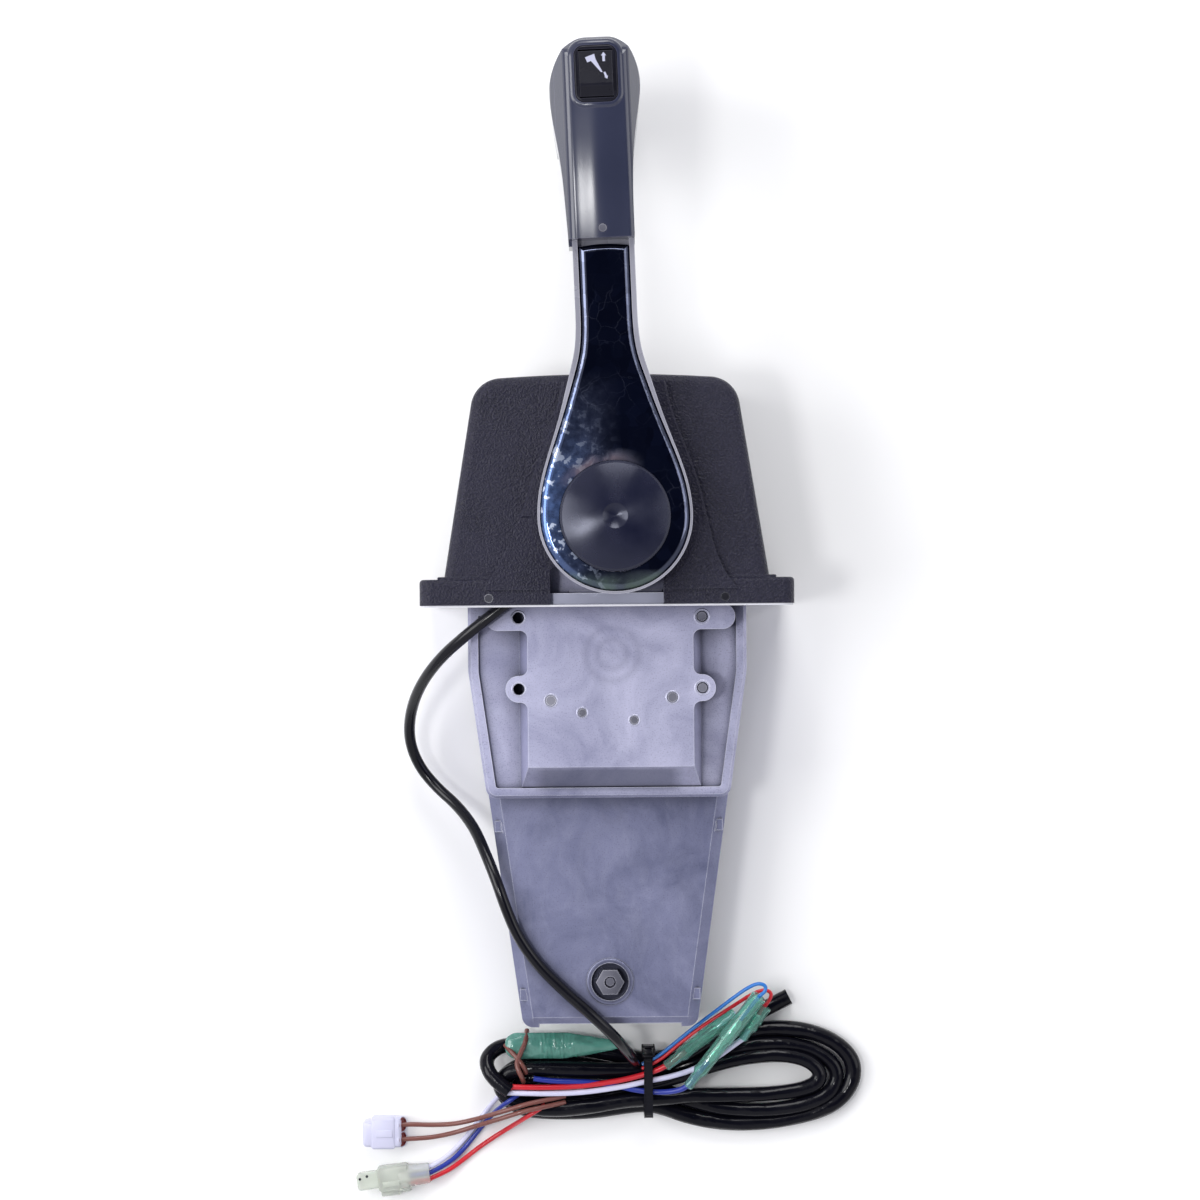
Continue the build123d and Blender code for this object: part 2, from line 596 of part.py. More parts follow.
def deck_screws():
    screws = []
    for x in (-DECK_SCREW_X, DECK_SCREW_X):
        for z in (DECK_SCREW_FRONT_Z, DECK_SCREW_BACK_Z):
            head_top = DECK_THICK + DECK_SCREW_HEAD_HEIGHT
            head = post_y(x, (DECK_THICK, head_top), z, DECK_SCREW_HEAD)
            head = fillet(head.edges().group_by(Axis.Y)[-1], 1.0)
            shank = post_y(x, (DECK_THICK - DECK_SCREW_LENGTH, DECK_THICK), z, DECK_SCREW_RADIUS)
            screws.append(head + shank)
    return screws


# ---- Cast body ----
def body_half(y):
    """Half-width of the body at a height y."""
    if y >= BODY_SHOULDER:
        return BODY_HALF
    share = (BODY_SHOULDER - y) / (BODY_SHOULDER - BODY_FOOT)
    return BODY_HALF + share * (BODY_FOOT_HALF - BODY_HALF)


def body_outline(inset, foot=BODY_FOOT):
    """Front outline of the body between the console and a height."""
    low = foot + inset
    low_half = body_half(low) - inset
    half = BODY_HALF - inset
    points = [(-half, -inset), (-half, BODY_SHOULDER), (-low_half, low)]
    points += [(-x, y) for x, y in reversed(points)]
    corner = max(BODY_CORNER - inset, 1.5)
    return outline(points, {2: corner, 3: corner})


def tower_outline(inset, foot):
    """Stepped outline of the tower above the deck."""
    half = TOWER_HALF - inset
    neck = TOWER_NECK - inset
    step = TOWER_STEP - inset
    low = Pos(HUB_X, (foot + step) / 2) * Rectangle(2 * half, step - foot)
    low = fillet(low.vertices().group_by(Axis.Y)[-1], 6)
    high = Pos(HUB_X, (foot + HUB_Y) / 2) * Rectangle(2 * neck, HUB_Y - foot)
    return low + high + Pos(HUB_X, HUB_Y) * Circle(neck)


def plate_block(inset, back):
    """Raised plate with sloping flanks, square at the console end."""
    high = PLATE_FACE - inset
    low = LEDGE_FACE - inset
    half = PLATE_HALF - inset
    foot = PLATE_FOOT + inset
    base_half = half + PLATE_FLANK
    base_foot = foot - PLATE_APRON
    base = Pos(PLATE_X, (base_foot - inset) / 2, low) * Rectangle(2 * base_half, -inset - base_foot)
    face = Pos(PLATE_X, (foot - inset) / 2, high) * Rectangle(2 * half, -inset - foot)
    return loft([base, face]) + slab(Pos(0, 0, -low) * base, (back, low))


def plate_face_outline():
    """Plate with two round-ended ears at the console and two lugs, blended into its sides."""
    face = Pos(PLATE_X, PLATE_FOOT / 2) * Rectangle(2 * PLATE_HALF, -PLATE_FOOT)
    face += Pos(PLATE_X, -EAR_DEPTH / 2) * SlotOverall(2 * EAR_HALF, EAR_DEPTH)
    for side in (-1, 1):
        face += Pos(PLATE_X + side * HOLE_X, HOLE_LOW) * Circle(LUG_RADIUS)
    sides = face.vertices().filter_by(lambda v: abs(abs(v.X - PLATE_X) - PLATE_HALF) < SEAT)
    inner = [v for v in sides if PLATE_FOOT + 1 < v.Y < -1]
    return fillet(inner, PLATE_BLEND)


def body_front_casting():
    shape = slab(body_outline(0), (SPLIT, PANEL_FACE))
    rim = shape.faces().sort_by(Axis.Z)[-1].edges()
    flanks = rim.filter_by(lambda e: BODY_FOOT + 10 < e.center().Y < LEDGE_FOOT + 5)
    shape = chamfer(flanks, PANEL_CHAMFER)
    ledge = slab(body_outline(0, LEDGE_FOOT), (SPLIT, BORDER_FACE))
    ledge = chamfer(ledge.faces().sort_by(Axis.Z)[-1].edges().filter_by(lambda e: e.center().Y < -1), 1.5)
    floor_outline = body_outline(BORDER_WIDTH, LEDGE_FOOT)
    ledge -= slab(floor_outline, (LEDGE_FACE, BORDER_FACE + 1))
    shape += ledge
    shape += plate_block(0, SPLIT)
    shape += slab(plate_face_outline(), (LEDGE_FACE - 1, PLATE_FACE))
    shape += slab(tower_outline(0, 0), (SPLIT, TOWER_FRONT))
    for half, height, face in TOWER_LEDGES:
        shape += block((HUB_X - half, HUB_X + half), (0, height), (TOWER_FRONT - WALL, face))
    ring = post(0, CLAMP_Y, (PANEL_FACE - 1, PANEL_FACE + CLAMP_RING_HEIGHT), CLAMP_RING_RADIUS)
    shape += fillet(ring.edges().group_by(Axis.Z)[-1], CLAMP_RING_HEIGHT * 0.7)
    # Inside
    shape -= slab(body_outline(WALL), (SPLIT - 1, PANEL_FACE - WALL))
    shape -= slab(body_outline(WALL, LEDGE_FOOT), (SPLIT - 1, LEDGE_FACE - WALL))
    shape -= plate_block(WALL, SPLIT - 1)
    shape -= slab(tower_outline(WALL, -30), (SPLIT - 1, PLATE_FACE - WALL))
    shape -= slab(tower_outline(WALL, WALL), (SPLIT - 1, TOWER_FRONT - WALL))
    # Bosses
    shape += case_bosses_front()
    shape += post(HUB_X, HUB_Y, BUSH_FRONT, BUSH_BOSS_RADIUS)
    pivot_y = pivot_place()
    shape += post(HUB_X, pivot_y, (SECTOR_HUB_END + GAP, PLATE_FACE - 1), SECTOR_HUB_RADIUS)
    shape += clamp_post((CLAMP_PLATE_Z[1], PANEL_FACE - 1))
    for side in (-1, 1):
        boss_y = (DECK_THICK - DECK_SCREW_LENGTH - 2, 0)
        shape += post_y(side * DECK_SCREW_X, boss_y, DECK_SCREW_FRONT_Z, DECK_BOSS_RADIUS)
    detent_z = sum(DETENT_Z) / 2
    detent_base = HUB_Y + DETENT_RADIUS + 5
    shape += post_y(HUB_X, (detent_base, DETENT_BOSS_TOP), detent_z, DETENT_BOSS_RADIUS)
    # Bores
    shape -= post(HUB_X, HUB_Y, (BUSH_FRONT[0] - 1, BUSH_FRONT[1] + 1), BUSH_BORE_OUTER + FIT)
    shape -= post(HUB_X, pivot_y, (0, PLATE_FACE - 2), PIVOT_RADIUS + FIT)
    shape -= post(0, CLAMP_Y, (SPLIT - 10, 10), CLAMP_BOLT_RADIUS + FIT)
    shape -= post(0, CLAMP_Y, (PANEL_FACE - CLAMP_RECESS_DEPTH, 10), CLAMP_RECESS_RADIUS)
    for x, y, tip in CASE_SCREW_PLACES:
        for side in (-1, 1):
            shape -= post(side * x, y, (SPLIT - 1, tip + 0.5), CASE_SCREW_RADIUS + FIT)
    for side in (-1, 1):
        boss_y = (DECK_THICK - DECK_SCREW_LENGTH - 0.5, 1)
        shape -= post_y(side * DECK_SCREW_X, boss_y, DECK_SCREW_FRONT_Z, DECK_SCREW_RADIUS + FIT)
        for y in (HOLE_TOP, HOLE_LOW):
            x = PLATE_X + side * HOLE_X
            shape -= post(x, y, (PLATE_FACE - HOLE_DEPTH, PLATE_FACE + 1), HOLE_RADIUS)
    shape -= post_y(HUB_X, (HUB_Y, DETENT_BOSS_TOP + 1), detent_z, PLUNGER_RADIUS + FIT)
    plug_y = (DETENT_BOSS_TOP - PLUG_LENGTH, DETENT_BOSS_TOP + 1)
    shape -= post_y(HUB_X, plug_y, detent_z, PLUG_RADIUS + FIT)
    for x, y, radius in DOWEL_PLACES:
        shape -= post(x, y, (DOWEL_BACK, PLATE_FACE + 1), radius + FIT)
    mouth_z = (SPLIT - 1, PANEL_FACE - WALL)
    shape -= block((-CABLE_MOUTH_HALF, CABLE_MOUTH_HALF), (BODY_FOOT - 1, BODY_FOOT + WALL + 1), mouth_z)
    return shape


def case_bosses_front():
    """Screw bosses that grow out of the front casting's wall."""
    bosses = None
    for x, y, tip in CASE_SCREW_PLACES:
        for side in (-1, 1):
            boss = post(side * x, y, (SPLIT, tip + 1.5), CASE_BOSS_RADIUS)
            half = body_half(y) - 1
            web = block((side * x, side * half), (y - 3, y + 3), (SPLIT, tip + 1))
            bosses = boss + web if bosses is None else bosses + boss + web
    return bosses & slab(body_outline(0.5), (SPLIT, LEDGE_FACE))


def clamp_post(z):
    return post(0, CLAMP_Y, z, CLAMP_BOSS_RADIUS)


def pivot_place():
    """Height of the sectors' pivot, one centre distance under the hub."""
    return HUB_Y - MODULE * (PINION_TEETH + SECTOR_TEETH) / 2


def body_rear_casting():
    shape = slab(body_outline(0), (BODY_BACK, SPLIT))
    rim = shape.faces().sort_by(Axis.Z)[0].edges().filter_by(lambda e: e.center().Y < -1)
    shape = fillet(rim, 3.0)
    shape += slab(tower_outline(0, 0), (TOWER_BACK, SPLIT))
    shape -= slab(body_outline(WALL), (BODY_BACK + WALL, SPLIT + 1))
    shape -= slab(tower_outline(WALL, -30), (TOWER_BACK + WALL, SPLIT + 1))
    pivot_y = pivot_place()
    shape += post(HUB_X, HUB_Y, BUSH_BACK, BUSH_BOSS_RADIUS) & block((-90, 90), (0, 120), (TOWER_BACK, 0))
    shape += post(HUB_X, pivot_y, (BODY_BACK + WALL, -SECTOR_HUB_END - GAP), SECTOR_HUB_RADIUS)
    shape += clamp_post((BODY_BACK + 1, CLAMP_PLATE_Z[0]))
    head_front = CLAMP_HEAD_BACK + CLAMP_HEAD_HEIGHT
    shape += post(0, CLAMP_Y, (head_front, BODY_BACK + 1), CLAMP_RECESS_RADIUS)
    for x, y, tip in CASE_SCREW_PLACES:
        for side in (-1, 1):
            half = body_half(y) - 1
            boss = post(side * x, y, (BODY_BACK + 1, SPLIT), CASE_BOSS_RADIUS)
            web = block((side * x, side * half), (y - 3, y + 3), (BODY_BACK + 1, SPLIT))
            shape += (boss + web) & slab(body_outline(0.5), (BODY_BACK + 1, SPLIT))
    for side in (-1, 1):
        boss_y = (DECK_THICK - DECK_SCREW_LENGTH - 2, 0)
        shape += post_y(side * DECK_SCREW_X, boss_y, DECK_SCREW_BACK_Z, DECK_BOSS_RADIUS)
    friction_x = (FRICTION_BOSS_END, HUB_X - TOWER_NECK + WALL)
    shape += post_x(friction_x, HUB_Y, FRICTION_Z, FRICTION_BOSS_RADIUS)
    # Bores
    shape -= post(HUB_X, HUB_Y, (TOWER_BACK - 2, BUSH_BACK[1] + 1), BUSH_BORE_OUTER + FIT)
    shape -= post(HUB_X, pivot_y, (BODY_BACK + 2, 0), PIVOT_RADIUS + FIT)
    shape -= post(0, CLAMP_Y, (CLAMP_HEAD_BACK, 0), CLAMP_BOLT_RADIUS + FIT)
    for x, y, tip in CASE_SCREW_PLACES:
        for side in (-1, 1):
            shape -= post(side * x, y, (BODY_BACK - 1, SPLIT + 1), CASE_SCREW_RADIUS + CLEARANCE)
            recess = (BODY_BACK - 1, BODY_BACK + CASE_HEAD_DEPTH)
            shape -= post(side * x, y, recess, CASE_SCREW_HEAD + GAP)
    for side in (-1, 1):
        boss_y = (DECK_THICK - DECK_SCREW_LENGTH - 0.5, 1)
        shape -= post_y(side * DECK_SCREW_X, boss_y, DECK_SCREW_BACK_Z, DECK_SCREW_RADIUS + FIT)
    shape -= post_x((FRICTION_BOSS_END - 1, HUB_X), HUB_Y, FRICTION_Z, FRICTION_RADIUS + FIT)
    mouth_z = (BODY_BACK + WALL, SPLIT + 1)
    shape -= block((-CABLE_MOUTH_HALF, CABLE_MOUTH_HALF), (BODY_FOOT - 1, BODY_FOOT + WALL + 1), mouth_z)
    return shape


def case_screws():
    screws = []
    for x, y, tip in CASE_SCREW_PLACES:
        for side in (-1, 1):
            seat = BODY_BACK + CASE_HEAD_DEPTH
            head = post(side * x, y, (BODY_BACK + 0.3, seat), CASE_SCREW_HEAD)
            shank = post(side * x, y, (seat, tip), CASE_SCREW_RADIUS)
            screws.append(head + shank)
    return screws


def body_studs():
    """Stud ends in the two right-hand holes of the plate."""
    studs = []
    for y in (HOLE_TOP, HOLE_LOW):
        depth = (PLATE_FACE - HOLE_DEPTH, PLATE_FACE - 0.6)
        stud = post(PLATE_X + HOLE_X, y, depth, HOLE_RADIUS - FIT)
        studs.append(chamfer(stud.edges().group_by(Axis.Z)[-1], 0.6))
    return studs


def dowel_pins():
    return [post(x, y, (DOWEL_BACK, PLATE_FACE + DOWEL_PROUD), radius) for x, y, radius in DOWEL_PLACES]


def clamp_bolt():
    head_front = CLAMP_HEAD_BACK + CLAMP_HEAD_HEIGHT
    head = hexagon(0, CLAMP_Y, (CLAMP_HEAD_BACK, head_front), CLAMP_HEX)
    shank = post(0, CLAMP_Y, (head_front, CLAMP_BOLT_FRONT), CLAMP_BOLT_RADIUS)
    return head + chamfer(shank.edges().group_by(Axis.Z)[-1], 0.8)


def clamp_nut():
    seat = PANEL_FACE - CLAMP_RECESS_DEPTH
    nut = hexagon(0, CLAMP_Y, (seat, seat + CLAMP_NUT_HEIGHT), CLAMP_HEX)
    return nut - post(0, CLAMP_Y, (seat - 1, seat + 10), CLAMP_BOLT_RADIUS + FIT)


def cable_clamp_plate():
    half = CLAMP_PLATE_LENGTH / 2
    y = (CLAMP_Y - half, CLAMP_Y + half)
    plate = block((-CLAMP_PLATE_HALF, CLAMP_PLATE_HALF), y, CLAMP_PLATE_Z)
    plate = fillet(plate.edges().filter_by(Axis.Z), 4.0)
    saddle_z = CLAMP_PLATE_Z[1] + 2
    for x in (-CLAMP_GROOVE_X, CLAMP_GROOVE_X):
        plate += block((x - 8, x + 8), y, (CLAMP_PLATE_Z[1] - 1, saddle_z + 2))
        plate -= post_y(x, (y[0] - 1, y[1] + 1), saddle_z + 3, CLAMP_GROOVE_RADIUS)
    return plate - post(0, CLAMP_Y, (-40, 0), CLAMP_BOLT_RADIUS + FIT)


def neutral_switch():
    """Micro-switch that hangs under the left ledge, its plunger towards the arm."""
    z = (LEDGE_FACE - WALL - SWITCH_DEPTH, LEDGE_FACE - WALL)
    case = block(SWITCH_X, SWITCH_Y, z)
    case = fillet(case.edges().filter_by(Axis.Z), 1.5)
    middle = (z[0] + z[1]) / 2
    nose = post_x((SWITCH_X[1] - 1, SWITCH_X[1] + 3), sum(SWITCH_Y) / 2, middle, 2.0)
    return case + nose


# ---- Shaft group ----
def bush(z, flange_z):
    body = post(HUB_X, HUB_Y, z, BUSH_BORE_OUTER)
    body += post(HUB_X, HUB_Y, flange_z, BUSH_BORE_OUTER + BUSH_FLANGE)
    bore = (min(z[0], flange_z[0]) - PAST, max(z[1], flange_z[1]) + PAST)
    return body - post(HUB_X, HUB_Y, bore, SHAFT_RADIUS + FIT)


def shaft_bushes():
    return [
        bush(BUSH_FRONT, (BUSH_FRONT[1], BUSH_FRONT[1] + BUSH_FLANGE_FRONT)),
        bush(BUSH_BACK, (BUSH_BACK[0] - BUSH_FLANGE_BACK, TOWER_BACK)),
    ]


def main_shaft():
    shaft = post(HUB_X, HUB_Y, (SHAFT_BACK, HUB_FLOOR), SHAFT_RADIUS)
    start = SHAFT_BACK + CIRCLIP_INSET
    groove = (start, start + CIRCLIP_THICK + CLEARANCE)
    core = post(HUB_X, HUB_Y, groove, SHAFT_RADIUS - CIRCLIP_DEPTH)
    shaft -= post(HUB_X, HUB_Y, groove, SHAFT_RADIUS + PAST) - core
    tapped = (HUB_FLOOR - HUB_BOLT_LENGTH - 2, HUB_FLOOR + 1)
    shaft -= post(HUB_X, HUB_Y, tapped, HUB_BOLT_RADIUS + FIT)
    return shaft


def shaft_circlip():
    start = SHAFT_BACK + CIRCLIP_INSET + CLEARANCE / 2
    z = (start, start + CIRCLIP_THICK)
    bore = post(HUB_X, HUB_Y, z, SHAFT_RADIUS - CIRCLIP_DEPTH + FIT)
    ring = post(HUB_X, HUB_Y, z, SHAFT_RADIUS + CIRCLIP_WIDTH) - bore
    opening = (HUB_X - CIRCLIP_OPENING / 2, HUB_X + CIRCLIP_OPENING / 2)
    return ring - block(opening, (HUB_Y, HUB_Y + 2 * SHAFT_RADIUS), (z[0] - PAST, z[1] + PAST))


def tooth_flank(teeth):
    """Half-tooth as (radius, half-angle) pairs from root to tip, on an involute."""
    pitch = MODULE * teeth / 2
    base = pitch * cos(radians(PRESSURE_ANGLE))
    tip = pitch + MODULE
    root = pitch - DEDENDUM * MODULE
    spread = tan(radians(PRESSURE_ANGLE)) - radians(PRESSURE_ANGLE)
    half = pi / (2 * teeth) - TOOTH_PLAY / (2 * pitch)
    flank = []
    for step in range(4):
        start = max(base, root)
        radius = start + (tip - start) * step / 3
        slope = acos(min(1, base / radius))
        flank.append((radius, half + spread - (tan(slope) - slope)))
    if root < base:
        flank.insert(0, (root, flank[0][1]))
    return flank


def tooth_points(teeth, middle):
    """Points round one tooth, anticlockwise, with its middle at an angle."""
    flank = tooth_flank(teeth)
    right = [(r * cos(middle - a), r * sin(middle - a)) for r, a in flank]
    left = [(r * cos(middle + a), r * sin(middle + a)) for r, a in reversed(flank)]
    return right + left


def drive_pinion():
    points = []
    for tooth in range(PINION_TEETH):
        points += tooth_points(PINION_TEETH, -pi / 2 + 2 * pi * tooth / PINION_TEETH)
    gear = slab(make_face(Polyline(*points, close=True)), (-PINION_HALF_WIDTH, PINION_HALF_WIDTH))
    wheel = post(0, 0, (PINION_HALF_WIDTH, DETENT_Z[1]), DETENT_RADIUS)
    for step in (-1, 0, 1):
        angle = radians(90 + step * DETENT_STEP)
        reach = DETENT_RADIUS + NOTCH_RISE
        wheel -= post(reach * cos(angle), reach * sin(angle), DETENT_Z, PLUNGER_RADIUS)
    gear += wheel
    gear -= post(0, 0, (-40, 40), SHAFT_RADIUS + FIT)
    return Pos(HUB_X, HUB_Y, 0) * gear


def sector_face():
    """Toothed fan, hub and cable arm in one outline, pivot at the origin."""
    step = 2 * pi / SECTOR_TEETH
    first = -(SECTOR_TEETH_CUT - 1) / 2
    points = []
    for tooth in range(SECTOR_TEETH_CUT):
        points += tooth_points(SECTOR_TEETH, pi / 2 + (first + tooth) * step)
    fan = make_face(Polyline(*points, (0, 0), close=True))
    pitch = MODULE * SECTOR_TEETH / 2
    half = degrees(step) * (SECTOR_TEETH_CUT / 2 - 1.6)
    window = Circle(pitch - 8) - Circle(SECTOR_HUB_RADIUS + 3)
    wedge = [(0, 0)]
    for edge in (-half, 0, half):
        reach = 2 * pitch
        wedge.append((reach * sin(radians(edge)), reach * cos(radians(edge))))
    window &= make_face(Polyline(*wedge, close=True))
    window = fillet(window.vertices(), 2.0)
    fan -= window
    arm = make_face(
        Polyline(
            (-SECTOR_HUB_RADIUS, 0),
            (SECTOR_HUB_RADIUS, 0),
            (ARM_END_RADIUS, -ARM_LENGTH),
            (-ARM_END_RADIUS, -ARM_LENGTH),
            close=True,
        )
    )
    return fan + arm + Circle(SECTOR_HUB_RADIUS) + Pos(0, -ARM_LENGTH) * Circle(ARM_END_RADIUS)


def sector(side):
    """Toothed sector: side 1 is the shift sector in front, -1 the throttle one behind."""
    plate = slab(sector_face(), (SECTOR_INNER, SECTOR_INNER + SECTOR_THICK))
    plate += post(0, 0, (GAP / 2, SECTOR_HUB_END), SECTOR_HUB_RADIUS)
    plate -= post(0, 0, (-1, 40), PIVOT_RADIUS + FIT)
    plate -= post(0, -ARM_LENGTH, (-1, 40), CABLE_PIN_RADIUS + FIT)
    if side < 0:
        plate = mirror(plate, about=Plane.XY)
    return Pos(HUB_X, pivot_place(), 0) * plate


def cable_pin(side):
    """Headed pin at the end of a cable arm."""
    inner = SECTOR_INNER - 1.5
    outer = SECTOR_INNER + SECTOR_THICK
    y = pivot_place() - ARM_LENGTH
    pin = post(HUB_X, y, (inner, outer + CABLE_PIN_REACH), CABLE_PIN_RADIUS)
    pin += post(HUB_X, y, (inner - 1, inner + 1.5 - SEAT), CABLE_PIN_RADIUS + 1.5)
    return pin if side > 0 else mirror(pin, about=Plane.XY)


def sector_pivot():
    return post(HUB_X, pivot_place(), (BODY_BACK + 2.5, PLATE_FACE - 2.5), PIVOT_RADIUS)


def detent_plunger():
    z = sum(DETENT_Z) / 2
    tip = HUB_Y + DETENT_RADIUS + GAP
    pin = post_y(HUB_X, (tip + PLUNGER_RADIUS, tip + PLUNGER_LENGTH), z, PLUNGER_RADIUS)
    return pin + Pos(HUB_X, tip + PLUNGER_RADIUS, z) * Sphere(PLUNGER_RADIUS)


def detent_spring():
    start = HUB_Y + DETENT_RADIUS + GAP + PLUNGER_LENGTH + SEAT
    length = DETENT_BOSS_TOP - PLUG_LENGTH - SEAT - start
    z = sum(DETENT_Z) / 2
    return Pos(HUB_X, start, z) * Rot(-90, 0, 0) * coil(PLUNGER_RADIUS - 0.9, 1.2, length, 2.5)


def detent_plug():
    z = sum(DETENT_Z) / 2
    plug = post_y(HUB_X, (DETENT_BOSS_TOP - PLUG_LENGTH, DETENT_BOSS_TOP + 2), z, PLUG_RADIUS)
    socket = Pos(HUB_X, DETENT_BOSS_TOP + 2, z) * Rot(90, 0, 0)
    socket = socket * slab(RegularPolygon(2.5, 6, major_radius=False), (0, 4))
    return plug - socket


def friction_shoe():
    near = HUB_X - SHAFT_RADIUS - GAP
    shoe = post_x((near - SHOE_LENGTH, near + 3), HUB_Y, FRICTION_Z, FRICTION_RADIUS)
    return shoe - post(HUB_X, HUB_Y, (FRICTION_Z - 6, FRICTION_Z + 6), SHAFT_RADIUS + GAP)


def friction_screw():
    end = HUB_X - SHAFT_RADIUS - GAP - SHOE_LENGTH - SEAT
    screw = post_x((FRICTION_BOSS_END - 1, end), HUB_Y, FRICTION_Z, FRICTION_RADIUS)
    head = post_x((FRICTION_BOSS_END - 5, FRICTION_BOSS_END - 1), HUB_Y, FRICTION_Z, FRICTION_RADIUS + 2.5)
    slot = block((FRICTION_BOSS_END - 6, FRICTION_BOSS_END - 3.5), (HUB_Y - 9, HUB_Y + 9), (-0.6, 0.6))
    return screw + head - Pos(0, 0, FRICTION_Z) * slot


# ---- Lever arm ----
def teardrop(hub_inset, neck_inset, end):
    """Lever outline: round hub, flanks that draw in to a straight neck."""
    hub = ARM_HUB_RADIUS - hub_inset
    neck = ARM_NECK_HALF - neck_inset
    waist = (hub_inset * 2 + neck_inset) / 3
    side = [(hub, 0), (36 - hub_inset, 23), (27.2 - waist, 49), (20.2 - neck_inset, 73), (neck, 104)]
    right = Spline(*side, tangents=[(0, 1), (0, 1)])
    left = Spline(*[(-x, y) for x, y in side], tangents=[(0, 1), (0, 1)])
    lines = [
        ThreePointArc((-hub, 0), (0, -hub), (hub, 0)),
        right,
        Line((neck, 104), (neck, end)),
        Line((neck, end), (-neck, end)),
        Line((-neck, end), (-neck, 104)),
        left,
    ]
    return make_face(Curve() + lines)


def lever_arm():
    arm = slab(teardrop(0, 0, PANEL_START), (ARM_BACK, ARM_FRONT))
    back_rim = arm.faces().sort_by(Axis.Z)[0].edges().filter_by(lambda e: e.center().Y < PANEL_START - 1)
    arm = fillet(back_rim, 2.0)
    arm += block((-ARM_TANG_HALF, ARM_TANG_HALF), (PANEL_START - 10, ARM_TANG_END), TANG_Z)
    arm -= slab(teardrop(RIM_HUB, RIM_NECK, PANEL_START + 1), (TRIM_FLOOR, ARM_FRONT + 1))
    arm -= post(0, 0, (HUB_FLOOR, ARM_FRONT + 1), BUTTON_RADIUS + GAP)
    # Ribbed pockets in the back
    pocket = slab(teardrop(ARM_RIB_WALL, ARM_RIB_WALL, ARM_POCKET_END), (ARM_BACK - 1, ARM_POCKET_FLOOR))
    pocket -= post(0, 0, (ARM_BACK - 1, ARM_POCKET_FLOOR), ARM_BOSS_RADIUS)
    pocket -= block((-ARM_SPINE_HALF, ARM_SPINE_HALF), (0, ARM_POCKET_END), (ARM_BACK - 1, ARM_POCKET_FLOOR))
    rib_z = (ARM_BACK + 2, ARM_POCKET_FLOOR)
    for u in ARM_RIB_HEIGHTS:
        pocket -= block((-ARM_HUB_RADIUS, ARM_HUB_RADIUS), (u, u + ARM_RIB), rib_z)
    for spoke in range(5):
        rib = block((0, ARM_HUB_RADIUS), (-ARM_RIB / 2, ARM_RIB / 2), rib_z)
        pocket -= Rot(0, 0, 180 + 45 * spoke) * rib
    arm -= pocket
    arm -= post(0, 0, (ARM_BACK - 1, HUB_FLOOR + 1), SHAFT_RADIUS + FIT)
    channel = ROD_RADIUS + GAP
    arm -= block((-channel, channel), (ROD_START - 1, ARM_TANG_END + 1), (ARM_BACK - 1, ROD_Z + channel))
    arm -= post(0, GRIP_SCREW_U, (TANG_Z[1] - 6, TANG_Z[1] + 1), GRIP_SCREW_RADIUS + FIT)
    return on_lever(arm)


def lever_trim():
    trim = slab(teardrop(RIM_HUB + SEAT, RIM_NECK + SEAT, TRIM_END), (TRIM_FLOOR, TRIM_FACE))
    arch = [(-20, TRIM_END + 5), (-20, TRIM_END - 3), (0, TRIM_END - 0.2), (20, TRIM_END - 3), (20, TRIM_END + 5)]
    top = make_face(
        Curve()
        + [
            Line(arch[0], arch[1]),
            ThreePointArc(arch[1], arch[2], arch[3]),
            Line(arch[3], arch[4]),
            Line(arch[4], arch[0]),
        ]
    )
    trim -= slab(top, (TRIM_FLOOR - 1, TRIM_FACE + 1))
    trim = fillet(trim.faces().sort_by(Axis.Z)[-1].edges(), TRIM_EDGE)
    trim -= post(0, 0, (TRIM_FLOOR - 1, TRIM_FACE + 1), BUTTON_RADIUS + GAP)
    return on_lever(trim)


def hub_bolt():
    seat = HUB_FLOOR + HUB_WASHER
    head = hexagon(0, 0, (seat, seat + HUB_BOLT_HEAD), HUB_BOLT_HEX)
    washer = post(0, 0, (HUB_FLOOR, seat), HUB_WASHER_RADIUS)
    shank = post(0, 0, (HUB_FLOOR - HUB_BOLT_LENGTH, HUB_FLOOR), HUB_BOLT_RADIUS)
    return on_lever(head + washer + shank)


def hub_button():
    """Domed cap with a round dimple, hollow behind."""
    rim = BUTTON_RADIUS - BUTTON_LIP
    inner = BUTTON_RADIUS - BUTTON_WALL
    floor = BUTTON_EDGE - BUTTON_WALL
    waist = (BUTTON_DIMPLE + rim) / 2
    crown = BUTTON_EDGE + (BUTTON_PEAK - BUTTON_EDGE) * 0.72
    profile = [
        ThreePointArc((0, BUTTON_PEAK - DIMPLE_DEPTH), (BUTTON_DIMPLE * 0.55, BUTTON_PEAK - DIMPLE_DEPTH * 0.72),
                      (BUTTON_DIMPLE, BUTTON_PEAK)),
        ThreePointArc((BUTTON_DIMPLE, BUTTON_PEAK), (waist, crown), (rim, BUTTON_EDGE)),
        Polyline((rim, BUTTON_EDGE), (BUTTON_RADIUS, BUTTON_EDGE - BUTTON_LIP), (BUTTON_RADIUS, BUTTON_BACK),
                 (inner, BUTTON_BACK), (inner, floor), (0, floor), (0, BUTTON_PEAK - DIMPLE_DEPTH)),
    ]
    cap = revolve(Plane.XZ * make_face(Curve() + profile), axis=Axis.Z)
    return on_lever(cap)


def button_spring():
    length = BUTTON_EDGE - BUTTON_WALL - HUB_FLOOR - 2 * SEAT
    spring = coil(BUTTON_SPRING_RADIUS, BUTTON_SPRING_WIRE, length, 2.5)
    return on_lever(Pos(0, 0, HUB_FLOOR + SEAT) * spring)


